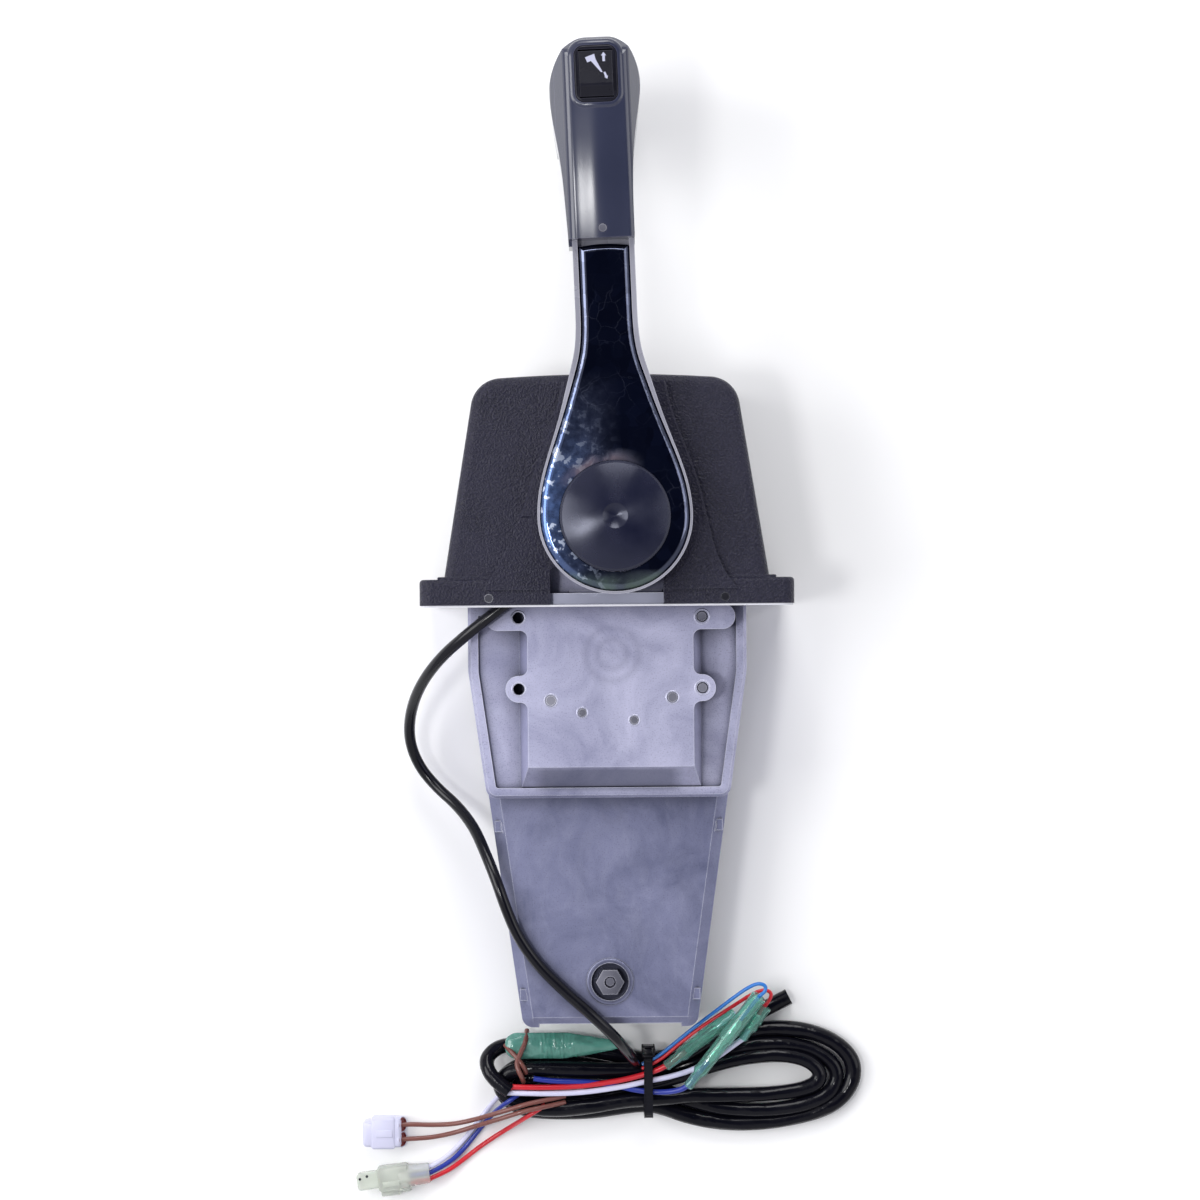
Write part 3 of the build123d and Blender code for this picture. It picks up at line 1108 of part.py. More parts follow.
# ---- Grip ----
def grip_silhouette():
    """Front outline: fuller on the left, where the palm lies, than on the right."""
    face = make_face(
        Curve()
        + [
            Spline(*GRIP_RIGHT, (0, GRIP_TOP), tangents=[(0.03, 1), (-1, 0)]),
            Spline(*[(-x, u) for x, u in GRIP_LEFT], (0, GRIP_TOP), tangents=[(-0.03, 1), (1, 0)]),
            Line((-GRIP_LEFT[0][0], GRIP_START), (GRIP_RIGHT[0][0], GRIP_START)),
        ]
    )
    return face


def grip_side():
    """Side view as (u, z): upright neck that turns back into the palm rest."""
    palm_top = GRIP_TOP - PALM_TAPER
    palm_low = PALM_UNDER + PALM_TAPER
    palm = palm_top - palm_low
    points = [
        (GRIP_START, GRIP_FACE),
        (GRIP_TOP - GRIP_NOSE * 0.8, GRIP_FACE),
        (GRIP_TOP, GRIP_FACE - GRIP_NOSE),
        (palm_top, PALM_BACK),
        (palm_low, PALM_BACK),
        (PALM_UNDER, GRIP_NECK_BACK - PALM_THROAT),
        (PALM_UNDER - PALM_SLOPE, GRIP_NECK_BACK),
        (GRIP_START, GRIP_NECK_BACK),
    ]
    nose = GRIP_NOSE * 0.65
    throat = PALM_THROAT * 0.8
    return outline(points, {1: nose, 2: nose, 3: palm * 0.36, 4: palm * 0.32, 5: throat, 6: throat})


def grip_section():
    """Section across the lever: a flat front panel and flanks that flare back."""
    half = GRIP_PANEL_HALF
    wide = half + GRIP_FLARE
    low = GRIP_FACE - GRIP_FLANK
    points = [(-half, GRIP_FACE), (half, GRIP_FACE), (wide, low), (wide, PALM_BACK - 1)]
    points += [(-wide, PALM_BACK - 1), (-wide, low)]
    ridge = GRIP_PANEL_HALF * 0.3
    return outline(points, {0: ridge, 1: ridge, 2: GRIP_FLARE, 5: GRIP_FLARE})


def grip_body():
    front = slab(grip_silhouette(), (PALM_BACK - 1, GRIP_FACE + 1))
    side = extrude(Plane.YZ * grip_side(), amount=30, both=True)
    section = extrude(Plane.XZ * grip_section(), amount=-(GRIP_TOP + 1))
    width = BEZEL_WIDTH + 2 * COLLAR_WIDTH
    length = BEZEL_LENGTH + 2 * COLLAR_WIDTH
    collar = Pos(0, SWITCH_U) * RectangleRounded(width, length, BEZEL_CORNER + COLLAR_WIDTH)
    collar = slab(collar, (GRIP_SPLIT, GRIP_FACE + COLLAR_RISE))
    collar = fillet(collar.edges().group_by(Axis.Z)[-1], COLLAR_WIDTH * 0.8)
    return (front & side & section) + (collar & front)


def grip_half(z):
    """Part of the grip between two values of z, cleared for what it holds."""
    half = grip_body() & block((-40, 40), (GRIP_START - 1, GRIP_TOP + 1), z)
    neck_x = ARM_NECK_HALF + SEAT
    neck_z = (ARM_BACK - SEAT, GRIP_FACE + 1)
    half -= block((-neck_x, neck_x), (GRIP_START - 1, PANEL_START + SEAT), neck_z)
    half -= block((-40, 40), (GRIP_START - 1, PANEL_START + SEAT), (ARM_FRONT - 2, GRIP_FACE + 1))
    tang_z = (TANG_Z[0] - SEAT, TANG_Z[1] + SEAT)
    tang_x = ARM_TANG_HALF + SEAT
    half -= block((-tang_x, tang_x), (PANEL_START - 5, ARM_TANG_END + SEAT), tang_z)
    hole = Pos(0, SWITCH_U) * RectangleRounded(BEZEL_WIDTH, BEZEL_LENGTH, BEZEL_CORNER)
    half -= slab(hole, (BEZEL_BACK - SEAT, GRIP_FACE + 2))
    wide = BEZEL_WIDTH / 2 - SWITCH_BLOCK_INSET
    long = BEZEL_LENGTH / 2 - SWITCH_BLOCK_INSET
    block_z = (SWITCH_BLOCK_BACK - SEAT, BEZEL_BACK)
    half -= block((-wide, wide), (SWITCH_U - long, SWITCH_U + long), block_z)
    half -= post(0, GRIP_SCREW_U, (TANG_Z[1] - PAST, GRIP_FACE + PAST), GRIP_SCREW_RADIUS + CLEARANCE)
    sunk = (GRIP_FACE - GRIP_SCREW_SINK, GRIP_FACE + PAST)
    half -= post(0, GRIP_SCREW_U, sunk, GRIP_SCREW_HEAD + CLEARANCE)
    return half - trigger_space()


def trigger_space():
    """Room in the grip for the trigger's stem, its link and the lock rod's end."""
    lift = TRIGGER_TRAVEL + GAP
    stem_x = TRIGGER_HALF - 2 + GAP
    stem_z = (TRIGGER_STEM_Z[0] - GAP, TRIGGER_STEM_Z[1] + GAP)
    space = block((-stem_x, stem_x), (PALM_UNDER - 12, TRIGGER_STEM_TOP + lift), stem_z)
    link_x = TRIGGER_LINK_HALF + GAP
    link_z = (TRIGGER_STEM_Z[1] - 1, ROD_Z + ROD_RADIUS + 2 * GAP)
    space += block((-link_x, link_x), (ROD_END - GAP, TRIGGER_STEM_TOP + lift), link_z)
    rod_x = ROD_RADIUS + GAP
    rod_z = (ROD_Z - ROD_RADIUS - GAP, ROD_Z + ROD_RADIUS + 2 * GAP)
    return space + block((-rod_x, rod_x), (GRIP_START, TRIGGER_STEM_TOP), rod_z)


def grip_front():
    return on_lever(grip_half((GRIP_SPLIT, GRIP_FACE + 1)))


def grip_rear():
    return on_lever(grip_half((PALM_BACK - 1, GRIP_SPLIT)))


def grip_screw():
    seat = GRIP_FACE - GRIP_SCREW_SINK
    head = post(0, GRIP_SCREW_U, (seat, GRIP_FACE - CLEARANCE), GRIP_SCREW_HEAD)
    shank = post(0, GRIP_SCREW_U, (GRIP_FACE - GRIP_SCREW_LENGTH, seat), GRIP_SCREW_RADIUS)
    return on_lever(head + shank)


def switch_bezel():
    outer = RectangleRounded(BEZEL_WIDTH - 2 * SEAT, BEZEL_LENGTH - 2 * SEAT, BEZEL_CORNER - SEAT)
    inner_width = ROCKER_WIDTH + 2 * GAP
    inner_length = 2 * (ROCKER_RADIUS + GAP)
    ring = slab(Pos(0, SWITCH_U) * outer, (BEZEL_BACK, BEZEL_FACE))
    ring = fillet(ring.edges().group_by(Axis.Z)[-1], 0.9)
    ring -= slab(Pos(0, SWITCH_U) * Rectangle(inner_width, inner_length), (BEZEL_BACK - 1, BEZEL_FACE + 1))
    half = BEZEL_WIDTH / 2 - 1.2
    ring -= post_x((-half, half), SWITCH_U, ROCKER_PIVOT_Z, ROCKER_PIN_RADIUS + FIT)
    return on_lever(ring)


def trim_rocker():
    """Rocker cap with a raised ridge and stub pins, its ends round about the pivot."""
    half = ROCKER_WIDTH / 2
    low = SWITCH_U - ROCKER_RADIUS
    points = [
        (low, ROCKER_BACK),
        (low, BEZEL_FACE - 0.4),
        (SWITCH_U + ROCKER_RIDGE[0], BEZEL_FACE + ROCKER_RIDGE_RISE),
        (SWITCH_U + ROCKER_RIDGE[1], BEZEL_FACE + ROCKER_RIDGE_RISE),
        (SWITCH_U + ROCKER_RADIUS, BEZEL_FACE - 0.2),
        (SWITCH_U + ROCKER_RADIUS, ROCKER_BACK),
    ]
    cap = extrude(Plane.YZ * outline(points, {2: 0.5, 3: 0.5}), amount=half, both=True)
    cap &= post_x((-half, half), SWITCH_U, ROCKER_PIVOT_Z, ROCKER_RADIUS)
    pin = BEZEL_WIDTH / 2 - 1.4
    cap += post_x((-pin, pin), SWITCH_U, ROCKER_PIVOT_Z, ROCKER_PIN_RADIUS)
    return on_lever(cap)


def trim_switch():
    """Switch block behind the rocker."""
    wide = BEZEL_WIDTH / 2 - SWITCH_BLOCK_INSET - SEAT
    long = BEZEL_LENGTH / 2 - SWITCH_BLOCK_INSET - SEAT
    body = block((-wide, wide), (SWITCH_U - long, SWITCH_U + long), (SWITCH_BLOCK_BACK, BEZEL_BACK - 0.5))
    return on_lever(body)


def interlock_trigger():
    low, high = TRIGGER_PAD
    pad = block((-TRIGGER_HALF, TRIGGER_HALF), (low, high), TRIGGER_Z)
    pad = fillet(pad.edges().filter_by(Axis.Y), 3.0)
    pad = fillet(pad.edges().group_by(Axis.Y)[0], 2.5)
    stem_x = TRIGGER_HALF - 2
    pad += block((-stem_x, stem_x), (high - 1, TRIGGER_STEM_TOP), TRIGGER_STEM_Z)
    link = (-TRIGGER_LINK_HALF, TRIGGER_LINK_HALF)
    pad += block(link, (ROD_END, TRIGGER_STEM_TOP), (TRIGGER_STEM_Z[1] - 1, ROD_Z + ROD_RADIUS))
    return on_lever(pad)


def lock_rod():
    return on_lever(post_y(0, (ROD_START, ROD_END), ROD_Z, ROD_RADIUS))


# ---- Cords ----
def cord_tube(points, radius):
    """Tube along straight runs joined by arcs as large as the runs allow."""
    spots = [Vector(*point) for point in points]
    radii = []
    for before, here, after in zip(spots, spots[1:], spots[2:]):
        turn = (here - before).get_angle(after - here)
        run = min((here - before).length, (after - here).length)
        radii.append(0.45 * run / tan(radians(turn) / 2))
    path = FilletPolyline(*spots, radius=radii)
    section = Plane(origin=path @ 0, z_dir=path % 0) * Circle(radius)
    return sweep(section, path=path)


def harness_hank():
    """Outer shape of the coiled leads, pinched where the tie holds them."""
    edge = Spline(*HANK_OUTLINE, periodic=True)
    hank = slab(make_face(edge), (FLOOR, HANK_TOP))
    hank = fillet(hank.edges().group_by(Axis.Z)[-1], 4.0)
    waist_x = (TIE_X[0] - 1, TIE_X[1] + 1)
    hank -= block(waist_x, (-300, -200), (FLOOR, FLOOR + TIE_THICK + GAP))
    slack = TIE_THICK + 2 * GAP
    hank -= block(waist_x, (TIE_Y[1] - slack, -200), (FLOOR, 0))
    return hank - block(waist_x, (-300, TIE_Y[0] + slack), (FLOOR, 0))


def cable_tie():
    outer = block(TIE_X, TIE_Y, (FLOOR, TIE_TOP))
    outer = fillet(outer.edges().filter_by(Axis.X), 3.0)
    inner_y = (TIE_Y[0] + TIE_THICK, TIE_Y[1] - TIE_THICK)
    inner = block((TIE_X[0] - 1, TIE_X[1] + 1), inner_y, (FLOOR + TIE_THICK, TIE_TOP - TIE_THICK))
    inner = fillet(inner.edges().filter_by(Axis.X), 2.0)
    head = block((TIE_X[0] - 1, TIE_X[1] + 1), (TIE_Y[1] - 1, TIE_Y[1] + 5), (TIE_TOP - 9, TIE_TOP - 1))
    return outer - inner + fillet(head.edges().filter_by(Axis.X), 1.0)


def white_connector():
    plug = block(*WHITE_PLUG)
    plug = fillet(plug.edges().filter_by(Axis.X), SOFT)
    top = WHITE_PLUG[2][1]
    return plug + block(LATCH_X, LATCH_Y, (top - PAST, top + LATCH_HEIGHT))


def connector_seals():
    face = WHITE_PLUG[0][1]
    return [post_x((face, SEAL_END), y, z, SEAL_RADIUS) for y, z in SEAL_PLACES]


def clear_connector():
    """Three-way connector: a barrel, a square middle with a latch stub, a square nose."""
    height = CLEAR_TOP - FLOOR
    barrel = block((3, 20), (-8, 8), (0, height))
    barrel = fillet(barrel.edges().filter_by(Axis.X), height * 0.3)
    middle = block((-14, 8), (-9.5, 7.5), (0, height))
    latch = block((-14, 2), (-14.5, -8), (2, 8))
    nose = block((-20, -10), (-10, 3), (0, height - 1))
    body = barrel + middle + latch + nose
    return Pos(CLEAR_PLACE[0], CLEAR_PLACE[1], FLOOR) * Rot(0, 0, CLEAR_TURN) * body


def green_sleeves():
    sleeves = []
    for start, end in SLEEVES:
        axis = Vector(*end) - Vector(*start)
        place = Location(Plane(origin=start, z_dir=axis))
        long = axis.length
        profile = [
            (0, 0), (2.6, 0), (2.6, 9), (SLEEVE_RADIUS - 0.6, 11), (SLEEVE_RADIUS - 0.6, long * 0.55),
            (SLEEVE_RADIUS, long * 0.55), (SLEEVE_RADIUS, long - 1), (SLEEVE_RADIUS - 1, long), (0, long),
        ]
        sleeve = revolve(Plane.XZ * make_face(Polyline(*profile, close=True)), axis=Axis.Z)
        sleeves.append(place * sleeve)
    return sleeves


def green_tube():
    """Flattened sleeve with one pointed end, on the left lobe."""
    points = [(-57, 0), (-54, -6), (-20, -6), (4, -3), (4, 3), (-20, 6), (-54, 6)]
    tube = slab(outline(points, {1: 3, 6: 3}), (HANK_TOP, HANK_TOP + 7))
    tube = fillet(tube.edges().group_by(Axis.Z)[-1], 1.4)
    return Pos(0, -241.5, 0) * tube


PARTS = {
    "cover": cover,
    "cover_screws": cover_screws,
    "flange_gasket": flange_gasket,
    "mounting_deck": mounting_deck,
    "deck_screws": deck_screws,
    "body_front_casting": body_front_casting,
    "body_rear_casting": body_rear_casting,
    "case_screws": case_screws,
    "body_studs": body_studs,
    "dowel_pins": dowel_pins,
    "clamp_bolt": clamp_bolt,
    "clamp_nut": clamp_nut,
    "cable_clamp_plate": cable_clamp_plate,
    "neutral_switch": neutral_switch,
    "shaft_bushes": shaft_bushes,
    "sector_pivot": sector_pivot,
    "detent_plunger": detent_plunger,
    "detent_spring": detent_spring,
    "detent_plug": detent_plug,
    "friction_shoe": friction_shoe,
    "friction_screw": friction_screw,
    "cable_grommet": cable_grommet,
    "main_shaft": main_shaft,
    "shaft_circlip": shaft_circlip,
    "drive_pinion": drive_pinion,
    "shift_sector": lambda: sector(1),
    "throttle_sector": lambda: sector(-1),
    "shift_cable_pin": lambda: cable_pin(1),
    "throttle_cable_pin": lambda: cable_pin(-1),
    "lever_arm": lever_arm,
    "lever_trim": lever_trim,
    "hub_bolt": hub_bolt,
    "hub_button": hub_button,
    "button_spring": button_spring,
    "grip_front": grip_front,
    "grip_rear": grip_rear,
    "grip_screw": grip_screw,
    "switch_bezel": switch_bezel,
    "trim_rocker": trim_rocker,
    "trim_switch": trim_switch,
    "interlock_trigger": interlock_trigger,
    "lock_rod": lock_rod,
    "lead_cable": lambda: cord_tube(LEAD_ROUTE, LEAD_RADIUS),
    "harness_hank": harness_hank,
    "cable_tie": cable_tie,
    "brown_wire_a": lambda: cord_tube(BROWN_A_ROUTE, WIRE_RADIUS),
    "brown_wire_b": lambda: cord_tube(BROWN_B_ROUTE, WIRE_RADIUS),
    "blue_wire": lambda: cord_tube(BLUE_ROUTE, WIRE_RADIUS),
    "white_wire": lambda: cord_tube(WHITE_ROUTE, WIRE_RADIUS),
    "red_wire": lambda: cord_tube(RED_ROUTE, WIRE_RADIUS),
    "red_lead": lambda: cord_tube(RED_LEAD_ROUTE, LEAD_WIRE_RADIUS),
    "white_lead": lambda: cord_tube(WHITE_LEAD_ROUTE, LEAD_WIRE_RADIUS),
    "blue_lead": lambda: cord_tube(BLUE_LEAD_ROUTE, LEAD_WIRE_RADIUS),
    "sky_wire": lambda: cord_tube(SKY_ROUTE, FINE_WIRE_RADIUS),
    "fine_red_wire": lambda: cord_tube(FINE_RED_ROUTE, FINE_WIRE_RADIUS),
    "white_connector": white_connector,
    "connector_seals": connector_seals,
    "clear_connector": clear_connector,
    "green_sleeves": green_sleeves,
    "green_tube": green_tube,
}

os.makedirs("parts", exist_ok=True)
for name, make in PARTS.items():
    print(name)
    made = make()
    if isinstance(made, list):
        made = Compound(children=made)
    export_step(made, f"parts/{name}.step")
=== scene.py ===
# %% [markdown]
# # A boat's throttle and shift control
# The control stands on the helm: a black cover, a polished lever with a grip, and under the
# console a cast body with the gears inside. Here it lies on its back on a pale floor, with its
# wiring loom gathered by a cable tie, and the camera looks straight down on it.
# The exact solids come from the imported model. This script adds the cords, the soft and
# see-through pieces, the materials, the light and the camera.

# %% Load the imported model
import json
from math import cos, exp, pi, radians, sin

import bmesh
import bpy
from mathutils import Matrix, Vector, noise


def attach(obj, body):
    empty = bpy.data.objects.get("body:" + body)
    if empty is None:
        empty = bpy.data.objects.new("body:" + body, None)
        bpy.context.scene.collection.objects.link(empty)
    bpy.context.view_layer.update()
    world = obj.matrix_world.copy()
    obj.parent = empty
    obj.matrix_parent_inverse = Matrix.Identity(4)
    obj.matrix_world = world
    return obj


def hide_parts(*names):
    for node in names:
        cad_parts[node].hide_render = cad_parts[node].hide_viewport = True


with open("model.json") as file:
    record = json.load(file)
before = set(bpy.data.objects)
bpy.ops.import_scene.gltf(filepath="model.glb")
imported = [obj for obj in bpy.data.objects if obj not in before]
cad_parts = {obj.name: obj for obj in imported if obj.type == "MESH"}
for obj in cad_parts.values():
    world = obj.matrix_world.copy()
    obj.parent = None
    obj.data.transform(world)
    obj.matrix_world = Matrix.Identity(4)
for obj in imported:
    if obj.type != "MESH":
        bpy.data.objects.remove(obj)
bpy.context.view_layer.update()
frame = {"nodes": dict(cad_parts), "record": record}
nodes = frame["nodes"]
MM = 0.001
FLOOR = -50.0  # height of the floor, in millimetres, as all the sizes below

# %% [markdown]
# ## Small tools
# Two functions put things into the scene, pieces with the body that carries them. The others
# write shader trees: they add a node, fill or link its sockets, open a group or a material, and
# give the mixes, sums and textures that come back in nearly every finish.

# %% Helpers
def put(name, data):
    """Puts new data in the scene as an object."""
    thing = bpy.data.objects.new(name, data)
    bpy.context.scene.collection.objects.link(thing)
    return thing


def place(name, mesh, finish, body="housing"):
    """Puts a mesh or a curve in the scene as a piece that rides on a body."""
    piece = put(name, mesh)
    mesh.materials.append(FINISHES[finish])
    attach(piece, body)
    return piece


def fill(tree, node, values):
    """Links sockets to a node's inputs, or sets the inputs to plain values."""
    for key, value in values.items():
        if isinstance(value, bpy.types.NodeSocket):
            tree.links.new(value, node.inputs[key])
        else:
            node.inputs[key].default_value = value


def add(tree, kind, values=None, **settings):
    """Adds a shader node of a kind, sets it, and links or fills its inputs."""
    node = tree.nodes.new("ShaderNode" + kind)
    for key, value in settings.items():
        setattr(node, key, value)
    fill(tree, node, values or {})
    return node


def new_group(name, inputs, outputs):
    """Opens a shader node group with named value inputs and outputs."""
    group = bpy.data.node_groups.new(name, "ShaderNodeTree")
    for label, value in inputs.items():
        socket = group.interface.new_socket(label, in_out="INPUT", socket_type="NodeSocketFloat")
        socket.default_value = value
    for label in outputs:
        group.interface.new_socket(label, in_out="OUTPUT", socket_type="NodeSocketFloat")
    return group, group.nodes.new("NodeGroupInput"), group.nodes.new("NodeGroupOutput")


def new_material(name):
    """Opens a material, and gives it with its tree and its shader."""
    material = bpy.data.materials.new(name)
    material.use_nodes = True
    return material, material.node_tree, material.node_tree.nodes["Principled BSDF"]


def mix(tree, factor, first, second):
    """Colour between two colours or sockets."""
    ends = {key: end if isinstance(end, bpy.types.NodeSocket) else (*end, 1.0)
            for key, end in ((6, first), (7, second))}
    return add(tree, "Mix", {0: factor, **ends}, data_type="RGBA").outputs[2]


def calc(tree, operation, first, second=0.0, third=0.0, clamp=False):
    """One sum of two or three sockets or numbers."""
    return add(tree, "Math", {0: first, 1: second, 2: third}, operation=operation,
               use_clamp=clamp).outputs[0]


def times(tree, *values):
    """Product of two or more sockets or numbers."""
    product = values[0]
    for value in values[1:]:
        product = calc(tree, "MULTIPLY", product, value)
    return product


def spread(tree, value, low, high, start=0.3, end=0.7):
    """Takes a value between start and end to one between low and high."""
    return add(tree, "MapRange", {"Value": value, "From Min": start, "From Max": end,
                                  "To Min": low, "To Max": high}).outputs[0]


def here(tree):
    """Place in the world at rest, in metres."""
    return add(tree, "TexCoord").outputs["Object"]


def axes(tree, where):
    """A place's three coordinates."""
    return add(tree, "SeparateXYZ", {0: where}).outputs


def measure(tree, operation, *values):
    """Number that a sum with vectors gives."""
    return add(tree, "VectorMath", dict(enumerate(values)), operation=operation).outputs["Value"]


def clouds(tree, where, scale, detail, roughness=0.5, distortion=0.0):
    """Outputs of a noise with so many waves to the metre."""
    return add(tree, "TexNoise", {"Vector": where, "Scale": scale, "Detail": detail,
                                  "Roughness": roughness, "Distortion": distortion}).outputs


def bumped(tree, height, strength, depth):
    """Normal of a face that a height lifts by up to a depth in metres."""
    values = {"Height": height, "Strength": strength, "Distance": depth}
    return add(tree, "Bump", values).outputs[0]


# %% [markdown]
# ## Camera
# A long lens far above the part keeps the lever and the grip in nearly the same scale as the
# body. A short lens close by would swell whatever is nearer. The lens follows from the distance
# and from how wide a strip of floor the picture takes in.

# %% Camera
CAMERA_PLACE = (-3.6, 2.3, 1550.0)
VIEW_WIDTH = 660.0  # strip of floor that the picture takes in
SENSOR = 36.0
ROLL = -0.5  # degrees

camera_data = bpy.data.cameras.new("camera")
camera_data.sensor_width = SENSOR
camera_data.lens = SENSOR * (CAMERA_PLACE[2] - FLOOR) / VIEW_WIDTH
camera_data.clip_end = 20.0
camera = put("camera", camera_data)
camera.location = Vector(CAMERA_PLACE) * MM
camera.rotation_euler = (0.0, 0.0, radians(ROLL))
bpy.context.scene.camera = camera
print("lens", round(camera_data.lens, 1), "mm")

# %% [markdown]
# ## Shader groups
# Three effects come back in many finishes: the grain that a mould leaves, the cloudy skin of a
# casting, and a painted highlight along the outer edges. Each is a group with its own sockets, so
# that a material only gives its numbers.

# %% Shader groups
def grain_group():
    """Pebbled grain of moulded plastic, as a height and a soft cloud mask."""
    group, given, out = new_group("moulded_grain", {"Scale": 900.0, "Cloud": 30.0}, ("Height", "Cloud"))
    where, scale = here(group), given.outputs["Scale"]
    cells = add(group, "TexVoronoi", {"Vector": where, "Scale": scale}, feature="SMOOTH_F1")
    rough = clouds(group, where, scale, 3.0)["Fac"]
    fill(group, out, {"Height": times(group, cells.outputs["Distance"], rough),
                      "Cloud": clouds(group, where, given.outputs["Cloud"], 5.0)["Fac"]})
    return group


def cast_group():
    """Skin of a die casting: large stains, fine pits and flow lines."""
    group, given, out = new_group("cast_skin", {"Stain": 26.0, "Pit": 1400.0}, ("Stain", "Pits", "Flow"))
    where = here(group)
    stretch = add(group, "Mapping", {"Vector": where, "Scale": (1.0, 0.45, 1.0)}).outputs[0]
    fill(group, out, {"Stain": clouds(group, where, given.outputs["Stain"], 6.0, 0.62, 0.6)["Fac"],
                      "Pits": clouds(group, where, given.outputs["Pit"], 4.0)["Fac"],
                      "Flow": clouds(group, stretch, 55.0, 8.0, 0.75, 1.2)["Fac"]})
    return group


def edge_group():
    """Mask of the outer edges for a painted highlight, from how far a rounded normal leaves the face's
    own.
    """
    group, given, out = new_group("edge_highlight", {"Width": 0.0008, "Gain": 6.0}, ("Edge",))
    bevel = add(group, "Bevel", {"Radius": given.outputs["Width"]}, samples=4).outputs[0]
    face = add(group, "NewGeometry").outputs["Normal"]
    away = calc(group, "SUBTRACT", 1.0, measure(group, "DOT_PRODUCT", bevel, face))
    fill(group, out, {"Edge": calc(group, "MULTIPLY", away, given.outputs["Gain"], clamp=True)})
    return group


GRAIN, CAST, EDGE = grain_group(), cast_group(), edge_group()
print("groups", [group.name for group in (GRAIN, CAST, EDGE)])

# %% [markdown]
# ## Finishes
# Most finishes are a colour that drifts a little, a roughness that drifts with it, a fine bump
# and a painted highlight on the edges. One function makes them all from a row of numbers.

# %% The common finish
PEAK_HIGHLIGHT_HEIGHTS = (0.08, 0.45)  # heights of the grain between which the painted highlight on its peaks comes up


def moulded(name, dark, light, rough=(0.35, 0.5), grain=900.0, bump=0.1, depth=0.00004, cloud=30.0,
            edge=None, metallic=0.0, coat=0.0, clear=0.0, ior=1.46, shine=0.5, through=0.0, peak_highlight=0.0):
    """Plastic, rubber or plated metal with a drifting colour, fine grain, and painted highlights on the
    edges and on the grain's peaks.
    """
    material, tree, shader = new_material(name)
    skin = add(tree, "Group", {"Scale": grain, "Cloud": cloud}, node_tree=GRAIN).outputs
    height, drift = skin["Height"], skin["Cloud"]
    colour = mix(tree, drift, dark, light)
    # Painted highlight on the grain's peaks, in the light colour
    if peak_highlight:
        colour = mix(tree, spread(tree, height, 0.0, peak_highlight, *PEAK_HIGHLIGHT_HEIGHTS), colour, light)
    # Painted highlight along the edges, in the edge colour
    if edge:
        highlit_edge = add(tree, "Group", node_tree=EDGE).outputs["Edge"]
        colour = mix(tree, highlit_edge, colour, edge)
    fill(tree, shader, {
        "Base Color": colour, "Roughness": spread(tree, drift, *rough),
        "Normal": bumped(tree, height, bump, depth), "Metallic": metallic, "Coat Weight": coat,
        "Transmission Weight": clear, "IOR": ior, "Specular IOR Level": shine,
        "Subsurface Weight": through, "Subsurface Radius": (0.002, 0.002, 0.002)})
    return material


print("the common finish is ready")

# %% [markdown]
# ## Plastics, rubbers and plated metals
# The cover is black with a pebbled grain, the grip is a glossy slate grey, and the wires are
# smooth and saturated. Small metal pieces differ mostly in colour and roughness. Each row gives
# the dark and the light colour, how rough, how fine the grain, how strong and deep its bump,
# and last what else sets the finish apart.

